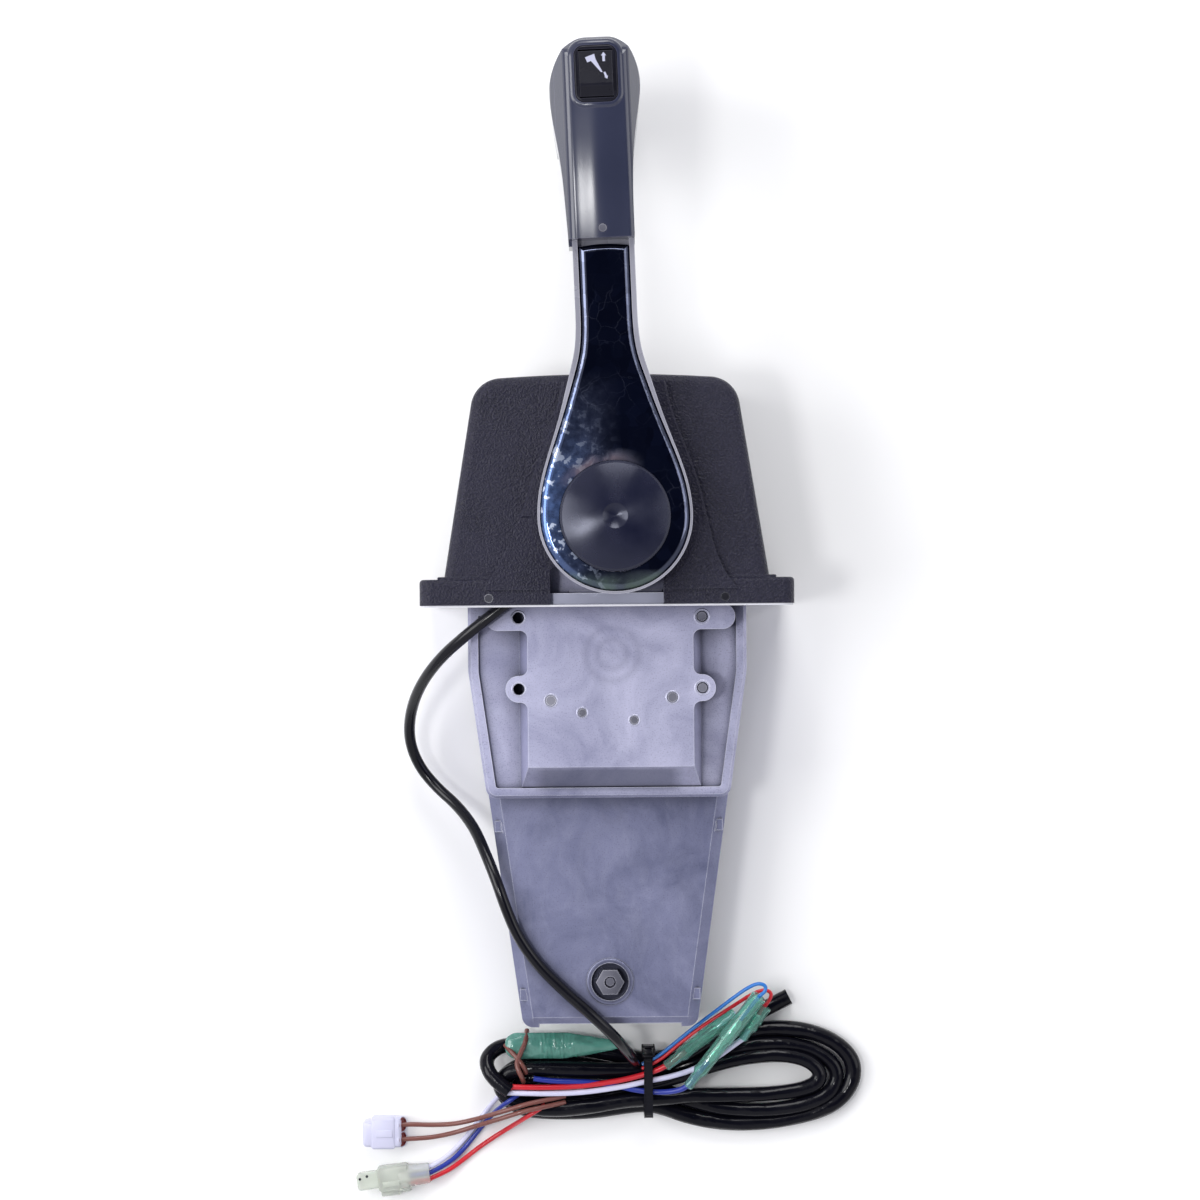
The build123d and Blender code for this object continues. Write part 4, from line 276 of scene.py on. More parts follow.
# %% Plain finishes
LOOKS = {
    "black_cover": ((0.001, 0.001, 0.004), (0.024, 0.023, 0.044), (0.3, 0.42), 1050.0, 1.0, 0.0009,
        dict(edge=(0.035, 0.035, 0.055), shine=0.26, peak_highlight=1.0)),
    "black_screw": ((0.03, 0.03, 0.04), (0.11, 0.11, 0.13), (0.2, 0.35),
        dict(metallic=0.9, edge=(0.45, 0.45, 0.5))),
    "pale_gasket": ((0.66, 0.66, 0.72), (0.76, 0.76, 0.8), (0.8, 0.95), 1500.0, 0.4, {}),
    "deck_metal": ((0.32, 0.33, 0.42), (0.46, 0.47, 0.58), (0.3, 0.42),
        dict(metallic=0.8, edge=(0.75, 0.76, 0.86))),
    "zinc_steel": ((0.16, 0.16, 0.2), (0.4, 0.4, 0.47), (0.22, 0.38),
        dict(metallic=0.9, edge=(0.8, 0.8, 0.88))),
    "spring_steel": ((0.4, 0.4, 0.42), (0.55, 0.55, 0.57), (0.2, 0.3), dict(metallic=1.0)),
    "gear_steel": ((0.3, 0.3, 0.31), (0.42, 0.42, 0.43), (0.28, 0.4), dict(metallic=1.0)),
    "bronze": ((0.42, 0.27, 0.12), (0.52, 0.35, 0.17), (0.3, 0.42), dict(metallic=1.0)),
    "black_plastic": ((0.005, 0.005, 0.009), (0.011, 0.011, 0.018), (0.2, 0.32), 1600.0, 0.15, 0.00003,
        dict(edge=(0.04, 0.04, 0.055), shine=0.25)),
    "hub_cap": ((0.004, 0.005, 0.015), (0.011, 0.012, 0.03), (0.22, 0.29), 420.0, 0.08, 0.00001,
        dict(cloud=90.0, shine=0.7)),
    "grey_frame": ((0.26, 0.26, 0.31), (0.36, 0.36, 0.42), (0.2, 0.34), 1200.0, 0.08,
        dict(edge=(0.55, 0.55, 0.62), metallic=0.3)),
    "slate_grip": ((0.024, 0.028, 0.052), (0.034, 0.038, 0.07), (0.14, 0.22), 1300.0, 0.1, 0.00002,
        dict(edge=(0.08, 0.08, 0.12), coat=0.4)),
    "black_rubber": ((0.003, 0.003, 0.005), (0.007, 0.007, 0.011), (0.12, 0.22), 500.0, 0.1,
        dict(shine=0.35)),
    "black_sheath": ((0.002, 0.002, 0.004), (0.005, 0.005, 0.009), (0.07, 0.22), 75.0, 0.9, 0.0025,
        dict(cloud=60.0, shine=0.25)),
    "tie_nylon": ((0.004, 0.004, 0.007), (0.01, 0.01, 0.014), (0.18, 0.28), dict(shine=0.4)),
    "brown_wire": ((0.14, 0.045, 0.038), (0.21, 0.075, 0.06), (0.25, 0.38), dict(coat=0.2)),
    "blue_wire": ((0.01, 0.022, 0.24), (0.018, 0.04, 0.34), (0.25, 0.38), dict(coat=0.2)),
    "white_wire": ((0.58, 0.58, 0.78), (0.7, 0.7, 0.88), (0.25, 0.38), dict(coat=0.2)),
    "red_wire": ((0.5, 0.008, 0.018), (0.64, 0.018, 0.032), (0.25, 0.38), dict(coat=0.2)),
    "sky_wire": ((0.014, 0.13, 0.46), (0.024, 0.2, 0.6), (0.25, 0.38), dict(coat=0.2)),
    "white_plug": ((0.54, 0.54, 0.7), (0.64, 0.64, 0.79), (0.3, 0.45), dict(coat=0.1, through=0.3)),
    "seal_red": ((0.1, 0.008, 0.01), (0.22, 0.02, 0.02), (0.3, 0.45), {}),
    "clear_plug": ((0.84, 0.89, 0.8), (0.92, 0.94, 0.9), (0.18, 0.3),
        dict(clear=0.66, through=0.2, ior=1.3)),
    "green_sleeve": ((0.32, 0.74, 0.62), (0.54, 0.88, 0.8), (0.08, 0.16), 300.0, 0.15, 0.0002,
        dict(clear=0.88, coat=0.5, ior=1.2)),
    "green_film": ((0.045, 0.3, 0.23), (0.28, 0.62, 0.53), (0.1, 0.22), 180.0, 0.8, 0.0014,
        dict(cloud=70.0, clear=0.45, coat=0.8, ior=1.35)),
    "pale_mark": ((0.34, 0.35, 0.48), (0.48, 0.49, 0.62), (0.4, 0.55), {}),
    "tin_bullet": ((0.5, 0.48, 0.46), (0.72, 0.7, 0.66), (0.18, 0.3), dict(metallic=0.9)),
}
FINISHES = {name: moulded(name, *row, **more) for name, (*row, more) in LOOKS.items()}
print("plain finishes", len(FINISHES))

# %% [markdown]
# ## Domed grip and turned hub
# The grip's front is flat in the solid, but it answers light like a gently domed one, so a broad
# bump lies under its fine grain. The hub's cap was turned on a lathe: fine rings stretch the
# shine outwards, so it fans out from the middle.

# %% Grip and hub
GRIP_LINE = (0.0061, 0.035)  # where the leaning grip's middle line is, and its slope
GRIP_TOP = 0.28
BOW_HALF = 0.015  # half the width of the panel that bows
BOW_ACROSS, BOW_ALONG = 0.00085, 1.07  # rise across the panel, and how fast it falls along it
HUB_TURNED = 0.8  # how far the rings stretch the shine
QUARTER_TURN = 0.25


def bow(material):
    """Makes the grip's front answer light like a gently domed one, under the fine grain."""
    tree = material.node_tree
    side, up, _ = axes(tree, here(tree))
    lean = calc(tree, "MULTIPLY_ADD", up, GRIP_LINE[1], -GRIP_LINE[0])
    across = spread(tree, calc(tree, "ADD", side, lean), -pi, pi, -BOW_HALF, BOW_HALF)
    along = calc(tree, "SUBTRACT", up, GRIP_TOP)
    drop_across = times(tree, calc(tree, "COSINE", across), BOW_ACROSS)
    drop_along = times(tree, along, along, -BOW_ALONG)
    grain = [node for node in tree.nodes if node.bl_idname == "ShaderNodeBump"]
    domed = bumped(tree, calc(tree, "ADD", drop_across, drop_along), 1.0, 1.0)
    for node in grain:
        tree.links.new(domed, node.inputs["Normal"])


def spun(material):
    """Turned shine: it stretches across fine rings round the piece's own middle."""
    tree = material.node_tree
    rings = add(tree, "Tangent", direction_type="RADIAL", axis="Z").outputs["Tangent"]
    fill(tree, tree.nodes["Principled BSDF"], {
        "Anisotropic": HUB_TURNED, "Anisotropic Rotation": QUARTER_TURN, "Tangent": rings,
        "Specular Tint": (0.8, 0.83, 1.0, 1.0)})


bow(FINISHES["slate_grip"])
spun(FINISHES["hub_cap"])
print("grip and hub done")

# %% [markdown]
# ## Bare casting
# The body is die-cast aluminium that nobody painted: violet grey, with dark stains, pale flow
# marks from the metal's run, and fine pits. Painted light makes the plate brighter than the panel
# below the ledge, painted shade darkens a slope, the nooks and the nut's recess, and the edges
# get a painted highlight.

# %% Casting
PANEL_TOP = (-0.103, -0.097)  # heights over which the plate's painted light gives way to the darker lower panel
SLOPE = (-0.099, -0.085)  # painted shade on the slope between the plate's foot and the ledge
SLOPE_SOFT = 0.002  # over which it fades out up and down
SLOPE_SIDES = (0.033, 0.04)  # where it fades out at its sides
# Faint round scars that the mould's pins left: middle and radius
SCARS = (((0.0025, -0.026, 0.03), 0.014), ((0.0025, -0.026, 0.03), 0.0075),
         ((0.002, -0.111, 0.0), 0.005))
SCAR_WIDTH = 0.003
RECESS_SHADE_RING = (0.0095, 0.0125)  # distances from the nut over which the painted shade in its recess fades out
NOOK = 0.014  # how far a face looks for walls that shade it
corners = [Vector(corner) for corner in nodes["clamp_nut"].bound_box]
NUT = sum(corners, Vector()) / len(corners)


def casting():
    """Raw aluminium with stains, flow marks, pits and scars, and painted light and shade: a brighter
    plate, a shaded slope, nooks and nut recess, and edge highlights.
    """
    material, tree, shader = new_material("raw_casting")
    skin = add(tree, "Group", node_tree=CAST).outputs
    highlit_edge = add(tree, "Group", node_tree=EDGE).outputs["Edge"]
    stain = spread(tree, skin["Stain"], 0.0, 1.0)
    # Painted light: the plate is brighter than the lower panel, for light and sheen that fall off
    # downwards
    shaded_panel = mix(tree, stain, (0.12, 0.13, 0.225), (0.215, 0.225, 0.35))
    plate = mix(tree, stain, (0.27, 0.275, 0.41), (0.49, 0.49, 0.65))
    where = here(tree)
    across, up, _ = axes(tree, where)
    body = mix(tree, spread(tree, up, 0.0, 1.0, *PANEL_TOP), shaded_panel, plate)
    streaked = mix(tree, spread(tree, skin["Flow"], 0.0, 0.18, 0.45, 0.75), body, (0.46, 0.47, 0.6))
    pitted = mix(tree, spread(tree, skin["Pits"], 0.35, 0.0, 0.3, 0.45), streaked, (0.06, 0.06, 0.1))
    # Painted shade on the slope below the plate's foot
    slope_shade = times(tree, spread(tree, up, 0.0, 0.6, SLOPE[0], SLOPE[0] + SLOPE_SOFT),
                  spread(tree, up, 1.0, 0.0, SLOPE[1] - SLOPE_SOFT, SLOPE[1]),
                  spread(tree, calc(tree, "ABSOLUTE", across), 1.0, 0.0, *SLOPE_SIDES))
    shaded = mix(tree, slope_shade, pitted, (0.13, 0.14, 0.2))
    for middle, radius in SCARS:
        away = measure(tree, "DISTANCE", where, middle)
        rim = calc(tree, "ABSOLUTE", calc(tree, "SUBTRACT", away, radius))
        shaded = mix(tree, spread(tree, rim, 0.22, 0.0, 0.0, SCAR_WIDTH), shaded, (0.16, 0.165, 0.24))
    # Painted shade in the recess round the nut
    from_nut = measure(tree, "DISTANCE", where, NUT)
    recess_shaded = mix(tree, spread(tree, from_nut, 0.85, 0.0, *RECESS_SHADE_RING), shaded, (0.02, 0.02, 0.035))
    # Painted highlight along the outer edges
    lit = mix(tree, highlit_edge, recess_shaded, (0.6, 0.61, 0.72))
    # Painted shade in nooks, from an occlusion mask mixed into the colour
    open_air = add(tree, "AmbientOcclusion", {"Distance": NOOK}, samples=8).outputs["AO"]
    colour = mix(tree, spread(tree, open_air, 0.92, 0.0, 0.25, 0.92), lit, (0.025, 0.028, 0.05))
    fill(tree, shader, {
        "Base Color": colour, "Roughness": spread(tree, skin["Stain"], 0.34, 0.5),
        "Normal": bumped(tree, skin["Pits"], 0.4, 0.00008), "Metallic": 0.5})
    return material


FINISHES["raw_casting"] = casting()
print("nut at", [round(value, 3) for value in NUT])

# %% [markdown]
# ## Bright trim
# The lever's inlay is plated to a dark mirror, with a very faint net of lines. Its navy cells are
# a painted reflection of the dark room, its lower left a painted blue reflection with pale painted
# glints, a painted brown reflection runs round the hub, and the foot has a painted green reflection.
# Where these painted reflections lie the face is less of a metal.

# %% Bright trim
HUB_TOP = Vector((0.0045, 0.045, 0.0715))  # middle of the hub, at the height of the trim's face
BLUE_REFLECTION_X, BLUE_REFLECTION_Y = (-0.03, 0.008), (0.06, 0.12)  # over these the painted blue reflection fades out, right and up
BROWN_REFLECTION_RING = (0.03, 0.035)  # distances from the hub over which the painted brown reflection fades out
BROWN_REFLECTION_X, BROWN_REFLECTION_Y = (0.004, 0.02), (0.052, 0.062)
GREEN_REFLECTION_Y = (0.012, 0.018)


def bright_trim():
    """Dark mirror with painted reflections: navy cells, a blue patch with glints, a brown ring and a green
    foot.
    """
    material, tree, shader = new_material("chrome_trim")
    where = here(tree)
    across, up, _ = axes(tree, where)
    warp = clouds(tree, where, 90.0, 3.0)
    bent = mix(tree, 0.006, where, warp["Color"])
    cells = add(tree, "TexVoronoi", {"Vector": bent, "Scale": 170.0}).outputs
    net = add(tree, "TexVoronoi", {"Vector": bent, "Scale": 110.0}, feature="DISTANCE_TO_EDGE")
    patch = clouds(tree, where, 22.0, 4.0)["Fac"]
    fine = clouds(tree, where, 260.0, 4.0)["Fac"]
    line = times(tree, spread(tree, net.outputs["Distance"], 1.0, 0.0, 0.0, 0.02),
                 spread(tree, patch, 0.0, 0.16, 0.5, 0.7))
    # Painted blue reflection and pale painted glints at the lower left
    left = times(tree, spread(tree, across, 1.0, 0.0, *BLUE_REFLECTION_X), spread(tree, up, 1.0, 0.0, *BLUE_REFLECTION_Y))
    blue_reflection = times(tree, left, spread(tree, patch, 0.25, 1.0, 0.35, 0.6))
    speckled_reflection = times(tree, blue_reflection, spread(tree, fine, 0.45, 1.0, 0.35, 0.6))
    painted_glint = times(tree, left, spread(tree, fine, 0.0, 0.9, 0.57, 0.61))
    from_hub = measure(tree, "DISTANCE", where, HUB_TOP)
    # Painted brown reflection round the hub
    rim = times(tree, spread(tree, from_hub, 0.8, 0.0, *BROWN_REFLECTION_RING), spread(tree, up, 0.0, 1.0, *BROWN_REFLECTION_Y),
                spread(tree, across, 1.0, 0.0, *BROWN_REFLECTION_X), spread(tree, warp["Fac"], 0.1, 1.0, 0.35, 0.55))
    # Painted green reflection at the foot
    green_reflection = times(tree, spread(tree, up, 0.8, 0.0, *GREEN_REFLECTION_Y), spread(tree, warp["Fac"], 0.2, 1.0))

    # Navy cells: a painted reflection of the dark room
    reflected_tint = mix(tree, cells["Color"], (0.07, 0.078, 0.115), (0.13, 0.145, 0.215))
    blue = mix(tree, blue_reflection, reflected_tint, (0.1, 0.18, 0.42))
    glinted = mix(tree, painted_glint, blue, (0.7, 0.78, 0.95))
    brown_reflection = times(tree, rim, spread(tree, patch, 0.2, 0.9, 0.4, 0.6))
    brown_reflected = mix(tree, brown_reflection, glinted, (0.2, 0.14, 0.15))
    green_reflected = mix(tree, green_reflection, brown_reflected, (0.1, 0.16, 0.08))
    # Mask of all the painted reflections, where the face is less of a metal
    reflection_mask = calc(tree, "MAXIMUM", calc(tree, "MAXIMUM", speckled_reflection, painted_glint), calc(tree, "MAXIMUM", green_reflection, rim))
    fill(tree, shader, {
        "Base Color": mix(tree, line, green_reflected, (0.75, 0.78, 0.88)),
        "Metallic": spread(tree, reflection_mask, 1.0, 0.25, 0.0, 1.0), "Specular Tint": (0.22, 0.25, 0.38, 1.0),
        "Normal": bumped(tree, cells["Distance"], 0.16, 0.0003),
        "Roughness": calc(tree, "ADD", line, spread(tree, warp["Fac"], 0.03, 0.09))})
    return material


FINISHES["chrome_trim"] = bright_trim()
print("trim round the hub at", round(HUB_TOP.y, 3))

# %% [markdown]
# ## Finishes onto the solids
# The record says which slot each solid takes its finish from, so the materials go on by slot.
# The hub's cap shares the black plastic's slot, but it has the turned finish.

# %% Dress the solids
for part in frame["record"]["subparts"]:
    solid = nodes[part["node"]]
    finish = "hub_cap" if part["node"] == "hub_button" else part["material_slot"]
    solid.data.materials.clear()
    solid.data.materials.append(FINISHES[finish])

# %% [markdown]
# ## The cords' lines
# Each cord is one NURBS curve. Its control points are where a hand would lay the cord, and the
# curve rounds every corner by itself, so it looks like something flexible. The order and the
# end points are set last, because Blender resets them when points are added.

# %% Cord curves
SWELL_PITCH = 0.09  # per millimetre


def cord_curve(name, points, radius, finish, swell=0.0):
    """Round cord along one NURBS spline, thinner here and there by a share up to the swell."""
    curve = bpy.data.curves.new(name, "CURVE")
    curve.dimensions = "3D"
    curve.bevel_depth = radius * MM
    curve.bevel_resolution = 4
    curve.resolution_u = 8
    curve.use_fill_caps = True
    spline = curve.splines.new("NURBS")
    spline.points.add(len(points) - 1)
    for spot, point in zip(spline.points, points):
        spot.co = (*(Vector(point) * MM), 1.0)
        spot.radius = 1.0 - swell * abs(noise.noise(Vector(point) * SWELL_PITCH))
    spline.order_u = 3
    spline.use_endpoint_u = True
    return place(name, curve, finish)


def cord_length(piece):
    """Length of a cord's line in metres, read from the curve without its thickness."""
    bare = piece.data.copy()
    bare.bevel_depth = 0.0
    probe = put("probe", bare)
    mesh = bpy.data.meshes.new_from_object(probe)
    spots = [vertex.co.copy() for vertex in mesh.vertices]
    bpy.data.objects.remove(probe)
    bpy.data.meshes.remove(mesh)
    return sum((after - before).length for before, after in zip(spots, spots[1:]))


# %% [markdown]
# ## The lead
# The control's own lead leaves under the cover's left front, sags beside the body, climbs over
# its lower edge, lies on the casting and drops into the tied loom. It is 6 mm thick and fairly
# stiff, so its curves are wide.

# %% The lead
LEAD_RADIUS = 3.0
LEAD_ROUTE = (
    (-46.3, 5.4, 36), (-61.5, -6, 36), (-75, -16.5, 31), (-88, -27.5, 20), (-99, -41, 3),
    (-106, -56, -15), (-108, -72, -27), (-103, -87, -32), (-93, -99, -31), (-82, -108, -25),
    (-72.5, -119, -14), (-66, -132, -2), (-60, -146, 5), (-55, -161, 6), (-48.5, -177, 4.5),
    (-38, -192, 3.6), (-24, -206, 3.8), (-10, -218, 5.5), (1.5, -229.5, 1), (8.5, -239.5, -11),
    (12.5, -247, -25), (14.5, -252, -37),
)
lead = cord_curve("lead", LEAD_ROUTE, LEAD_RADIUS, "black_rubber")
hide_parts("lead_cable")
print("lead", round(cord_length(lead), 3), "m")

# %% [markdown]
# ## The loom's sheath
# The wires run in a soft black sleeve that is wound into a hank: three loops to the right of
# the tie and three to the left, some on the floor and some on the loops below. Each pass
# through the tie has a place of its own there. All of it is one line from end to end, and the
# sleeve is fuller in some places than in others.

# %% The loom's sheath
SHEATH_RADIUS = 4.5
SHEATH_SWELL = 0.3  # largest share by which it is thinner
LOW = FLOOR + SHEATH_RADIUS  # middle of a sleeve that lies on the floor
# Across, up, and height over LOW
SHEATH_LINE = (
    # The open end on top, and the first loop on the left
    (-55, -264, 16), (-61.5, -259.5, 15.5), (-67, -253, 13.5), (-67.8, -246.5, 8.5), (-61, -241.5, 3),
    (-50, -240.4, 0), (-30, -241.5, 0), (-5, -245, 0), (10, -248.5, 0), (20.4, -249.9, 0),
    # The outer loop on the right
    (32, -248.5, 0), (50, -242, 0), (70, -235.5, 0), (90, -233, 0), (108, -234.5, 0), (123, -240.5, 0),
    (132.5, -250, 0), (133.5, -260.5, 0), (128, -270.5, 0), (118, -277.5, 0), (103, -282.5, 0),
    (82, -285.2, 0), (60, -284.8, 0), (42, -281, 0), (30, -276.5, 0), (20.4, -274.2, 0),
    # Left along the bottom, and back inside the first loop
    (8, -275.5, 0), (-10, -278, 0), (-30, -278.6, 0), (-46, -277, 0), (-57, -271.5, 0), (-60.6, -264, 0),
    (-57, -256.5, 0), (-47, -251.5, 0), (-30, -250.8, 0), (-5, -254.5, 0), (10, -257.5, 0),
    (20.4, -258, 0),
    # The middle loop on the right
    (32, -256, 0), (50, -250, 2), (70, -243, 3), (90, -240.8, 2), (106, -243, 0), (117.5, -248.5, 0),
    (124, -256, 0), (123.5, -264.5, 0), (117, -271, 1), (104, -275.5, 2), (86, -277.8, 3), (64, -277, 3),
    (45, -273, 2), (31, -267.5, 0), (20.4, -266.1, 0),
    # A short loop on the left
    (8, -267, 0), (-10, -270.5, 0), (-26, -272.4, 0), (-39, -271.6, 1), (-48.5, -267.5, 2),
    (-50.5, -262.5, 4), (-46, -258.4, 6), (-35, -257.6, 7), (-18, -259.6, 8), (2, -261.5, 8),
    (20.4, -262, 8),
    # The inner loop on the right
    (34, -259, 8), (52, -253, 7), (72, -248.3, 5), (92, -247, 3), (106, -249.5, 3), (114.5, -255.5, 3),
    (114, -262.5, 3), (105, -266.8, 3), (88, -268.6, 4), (66, -268.8, 6), (46, -268.5, 7),
    (32, -269.6, 8), (20.4, -270, 8),
    # The upper loop on the left
    (6, -271, 8), (-12, -274, 8), (-32, -275.6, 8), (-47, -273.6, 8), (-57.5, -268.5, 8),
    (-61, -261.5, 7), (-56.5, -255.2, 8), (-46, -252.4, 10), (-30, -252.8, 11), (-10, -253.4, 10.5),
    (8, -254, 9), (20.4, -254, 8),
    # The other end, over the right loops and down to the floor
    (32, -250.5, 8.5), (48, -241.5, 9), (64, -232, 8), (80, -224.8, 3), (90, -220, 0), (98, -216, 0),
)
SHEATH_ROUTE = [(x, y, LOW + rise) for x, y, rise in SHEATH_LINE]
sheath = cord_curve("sheath", SHEATH_ROUTE, SHEATH_RADIUS, "black_sheath", SHEATH_SWELL)
SHEATH_LENGTH = cord_length(sheath)
print("sheath", round(SHEATH_LENGTH, 3), "m")

# %% [markdown]
# ## The single wires
# Two brown wires end in the white connector, and a blue, a white and a red one in the clear
# connector. Three thicker leads leave the sheath's open end, pass under the tie and end in
# green sleeves, where two fine wires meet them. Each has its own colour and thickness.

# %% The single wires
WIRE_RADIUS = 1.3
LEAD_WIRE_RADIUS = 1.5
FINE_RADIUS = 1.0
# Across, up for the one wire, up for the other, and height
BROWN_PAIR = (
    (-115, -284.1, -292.1, -43.4), (-109.5, -284.1, -292.1, -44.3), (-98, -285, -291.8, -46.5),
    (-86, -284.6, -289.4, -46.5), (-75, -281.5, -285.2, -42), (-66, -278, -281.7, -36),
    (-56.5, -274.5, -278, -31), (-46, -271, -274.5, -29.6), (-35, -269.1, -272.6, -30.5),
    (-25, -267.8, -271.2, -35.4),
)
WIRES = {
    "brown_wire_a": (WIRE_RADIUS, "brown_wire", [(x, y, z) for x, y, _, z in BROWN_PAIR]),
    "brown_wire_b": (WIRE_RADIUS, "brown_wire", [(x, y, z) for x, _, y, z in BROWN_PAIR]),
    "blue_wire": (WIRE_RADIUS, "blue_wire", (
        (-99.3, -310.6, -44), (-90, -306.4, -46), (-82.5, -300.2, -48.2), (-76, -292.5, -48.6),
        (-70, -285, -48.2), (-64.5, -278.5, -44), (-59.5, -273, -36), (-53.5, -268.6, -32),
        (-46, -263.6, -36.4))),
    "white_wire": (WIRE_RADIUS, "white_wire", (
        (-99.3, -307.4, -44), (-92, -303.6, -46), (-85, -297.8, -48.2), (-78.4, -290.4, -48.6),
        (-72.4, -282.8, -48.6), (-66.5, -275, -47), (-60, -267, -43))),
    "red_wire": (WIRE_RADIUS, "red_wire", (
        (-99.3, -313.8, -44), (-90, -310.4, -46), (-81.5, -304.6, -48.2), (-73, -298, -48.6),
        (-64, -292, -48.6), (-56, -286.6, -45), (-49.5, -281.5, -37.5), (-43.5, -276.8, -31),
        (-36, -272.5, -34))),
    "red_lead": (LEAD_WIRE_RADIUS, "red_wire", (
        (-57.5, -261.5, -29.5), (-46, -262, -29.5), (-34, -262.4, -31), (-18, -262.1, -31.5),
        (-4, -260.4, -31.3), (9, -258.2, -31), (22.6, -254.4, -30.4), (29.9, -250.8, -27),
        (37.9, -244.7, -26.6))),
    "white_lead": (LEAD_WIRE_RADIUS, "white_wire", (
        (-57.5, -264.8, -30), (-46, -265.3, -29.8), (-34, -265.8, -31), (-18, -265.5, -31.5),
        (-4, -263.9, -31.3), (9, -261.8, -31), (21, -259.2, -31), (33, -257, -31),
        (46, -253, -31), (58, -246.5, -30), (66.5, -240, -28), (71.4, -236.2, -26))),
    "blue_lead": (LEAD_WIRE_RADIUS, "blue_wire", (
        (-42, -257.5, -31), (-33, -258.9, -31), (-21, -259.4, -31.6), (-9, -260, -32.2),
        (3, -262, -32.8), (14, -264.6, -32), (25, -265.6, -31), (35, -264.6, -28), (41.7, -261.6, -25),
        (46.5, -255.3, -23.6))),
    "sky_wire": (FINE_RADIUS, "sky_wire", (
        (17, -250, -30.4), (25, -246.6, -29.6), (35.5, -237.6, -26.6), (46, -228.6, -23),
        (57.5, -219.6, -19.5), (67, -212, -16.5), (73.5, -207.2, -14.6), (79.5, -204.2, -13.2),
        (83.8, -205.6, -13.2), (83.4, -208.9, -13.4), (80.1, -211.4, -13.5), (75.3, -217.7, -14.9))),
    "fine_red_wire": (FINE_RADIUS, "red_wire", (
        (17, -252.4, -30.6), (26.5, -248.4, -29.6), (36, -239.6, -26.8), (46.5, -231, -24.5),
        (57, -223.6, -22), (67.5, -217, -22), (76.5, -211.4, -22.4), (83.2, -208.9, -23),
        (87.4, -210.8, -23.8), (86.6, -214.8, -24.4), (83.3, -218.9, -25))),
}
wires = {}
for name, (radius, finish, route) in WIRES.items():
    wires[name] = cord_curve(name + "_piece", route, radius, finish)
    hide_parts(name)
    print(name, round(cord_length(wires[name]) / MM), "mm")

# %% [markdown]
# ## Mesh tools
# The small plastic pieces are drawn in millimetres as bmesh shapes: boxes with rounded edges and
# turned shapes along any line. One function joins rings of corners with faces, and one scales the
# finished drawing to metres, smooths it and puts it in the scene.

# %% Mesh tools
SHARP = radians(40)  # edges above this angle stay sharp


def draw(name, work, finish, body="housing"):
    """Turns a drawing in millimetres into a piece with a finish on a body."""
    bmesh.ops.recalc_face_normals(work, faces=work.faces)
    bmesh.ops.scale(work, vec=(MM, MM, MM), verts=work.verts)
    mesh = bpy.data.meshes.new(name)
    work.to_mesh(mesh)
    work.free()
    mesh.shade_smooth()
    mesh.set_sharp_from_angle(angle=SHARP)
    return place(name, mesh, finish, body)


def box(work, low, high, corner=0.0):
    """Adds a box between two corners, its edges rounded."""
    made = bmesh.ops.create_cube(work, size=1.0)["verts"]
    bmesh.ops.scale(work, vec=Vector(high) - Vector(low), verts=made)
    bmesh.ops.translate(work, vec=(Vector(low) + Vector(high)) / 2, verts=made)
    if corner:
        edges = list(dict.fromkeys(edge for vert in made for edge in vert.link_edges))
        bmesh.ops.bevel(work, geom=edges, offset=corner, segments=3, profile=0.5, affect="EDGES")


def join_rings(work, rings):
    """Adds the faces between each ring of corners and the next."""
    for low, high in zip(rings, rings[1:]):
        for corner in range(len(low)):
            beside = (corner + 1) % len(low)
            work.faces.new((low[corner], low[beside], high[beside], high[corner]))


def lathe(work, profile, start, aim, steps=32):
    """Adds a turned shape from pairs of radius and distance along the line from start to aim."""
    origin = Vector(start)
    axis = (Vector(aim) - origin).normalized()
    side = axis.orthogonal().normalized()
    across = axis.cross(side)
    turns = [2 * pi * step / steps for step in range(steps)]
    spokes = [side * cos(turn) + across * sin(turn) for turn in turns]
    closed = profile[0] == profile[-1]
    rings = [[work.verts.new(origin + axis * along + spoke * radius) for spoke in spokes]
             for radius, along in (profile[:-1] if closed else profile)]
    if closed:
        join_rings(work, rings + rings[:1])
    else:
        join_rings(work, rings)
        work.faces.new(rings[0])
        work.faces.new(rings[-1])


print("mesh tools ready")

# %% [markdown]
# ## Cable tie
# A nylon strap pulled round the bundle. It could be a plain band, but a real one has raised rims,
# a row of teeth between them and a square head with a window that the strap passes through. So a
# narrow profile is carried round a rounded rectangle, and every other step is a tooth.

# %% Cable tie
TIE_X = 20.4  # middle of the strap
TIE_HALF = 2.4  # half its width
TIE_LOW = (-275.5, FLOOR + 4.0)  # y and z of the middles that the strap's corners turn about
TIE_HIGH = (-248.5, -31.0)
TIE_CORNER = 4.0
TIE_THICK = 1.3
TIE_STEP = 0.9  # from tooth to gap
TOOTH, GAP = 0.45, 0.15  # depths of the band between the rims
HEAD_HALF, HEAD_WALL = 3.6, 1.2
HEAD_Y = (-245.6, -239.6)
HEAD_Z = (-34.0, -25.8)


def strap_line():
    """Places and outward directions along the strap, as pairs of y and z."""
    corners = (TIE_HIGH, (TIE_LOW[0], TIE_HIGH[1]), TIE_LOW, (TIE_HIGH[0], TIE_LOW[1]))
    line = []
    for quarter, middle in enumerate(corners):
        for turn in range(90 * quarter, 90 * quarter + 91, 10):
            out = Vector((cos(radians(turn)), sin(radians(turn))))
            line.append((Vector(middle) + TIE_CORNER * out, out))
    fine = []
    for (spot, out), (after, out_after) in zip(line, line[1:] + line[:1]):
        parts = max(1, round((after - spot).length / TIE_STEP))
        shares = [part / parts for part in range(parts)]
        fine += [(spot.lerp(after, share), out.lerp(out_after, share)) for share in shares]
    return fine


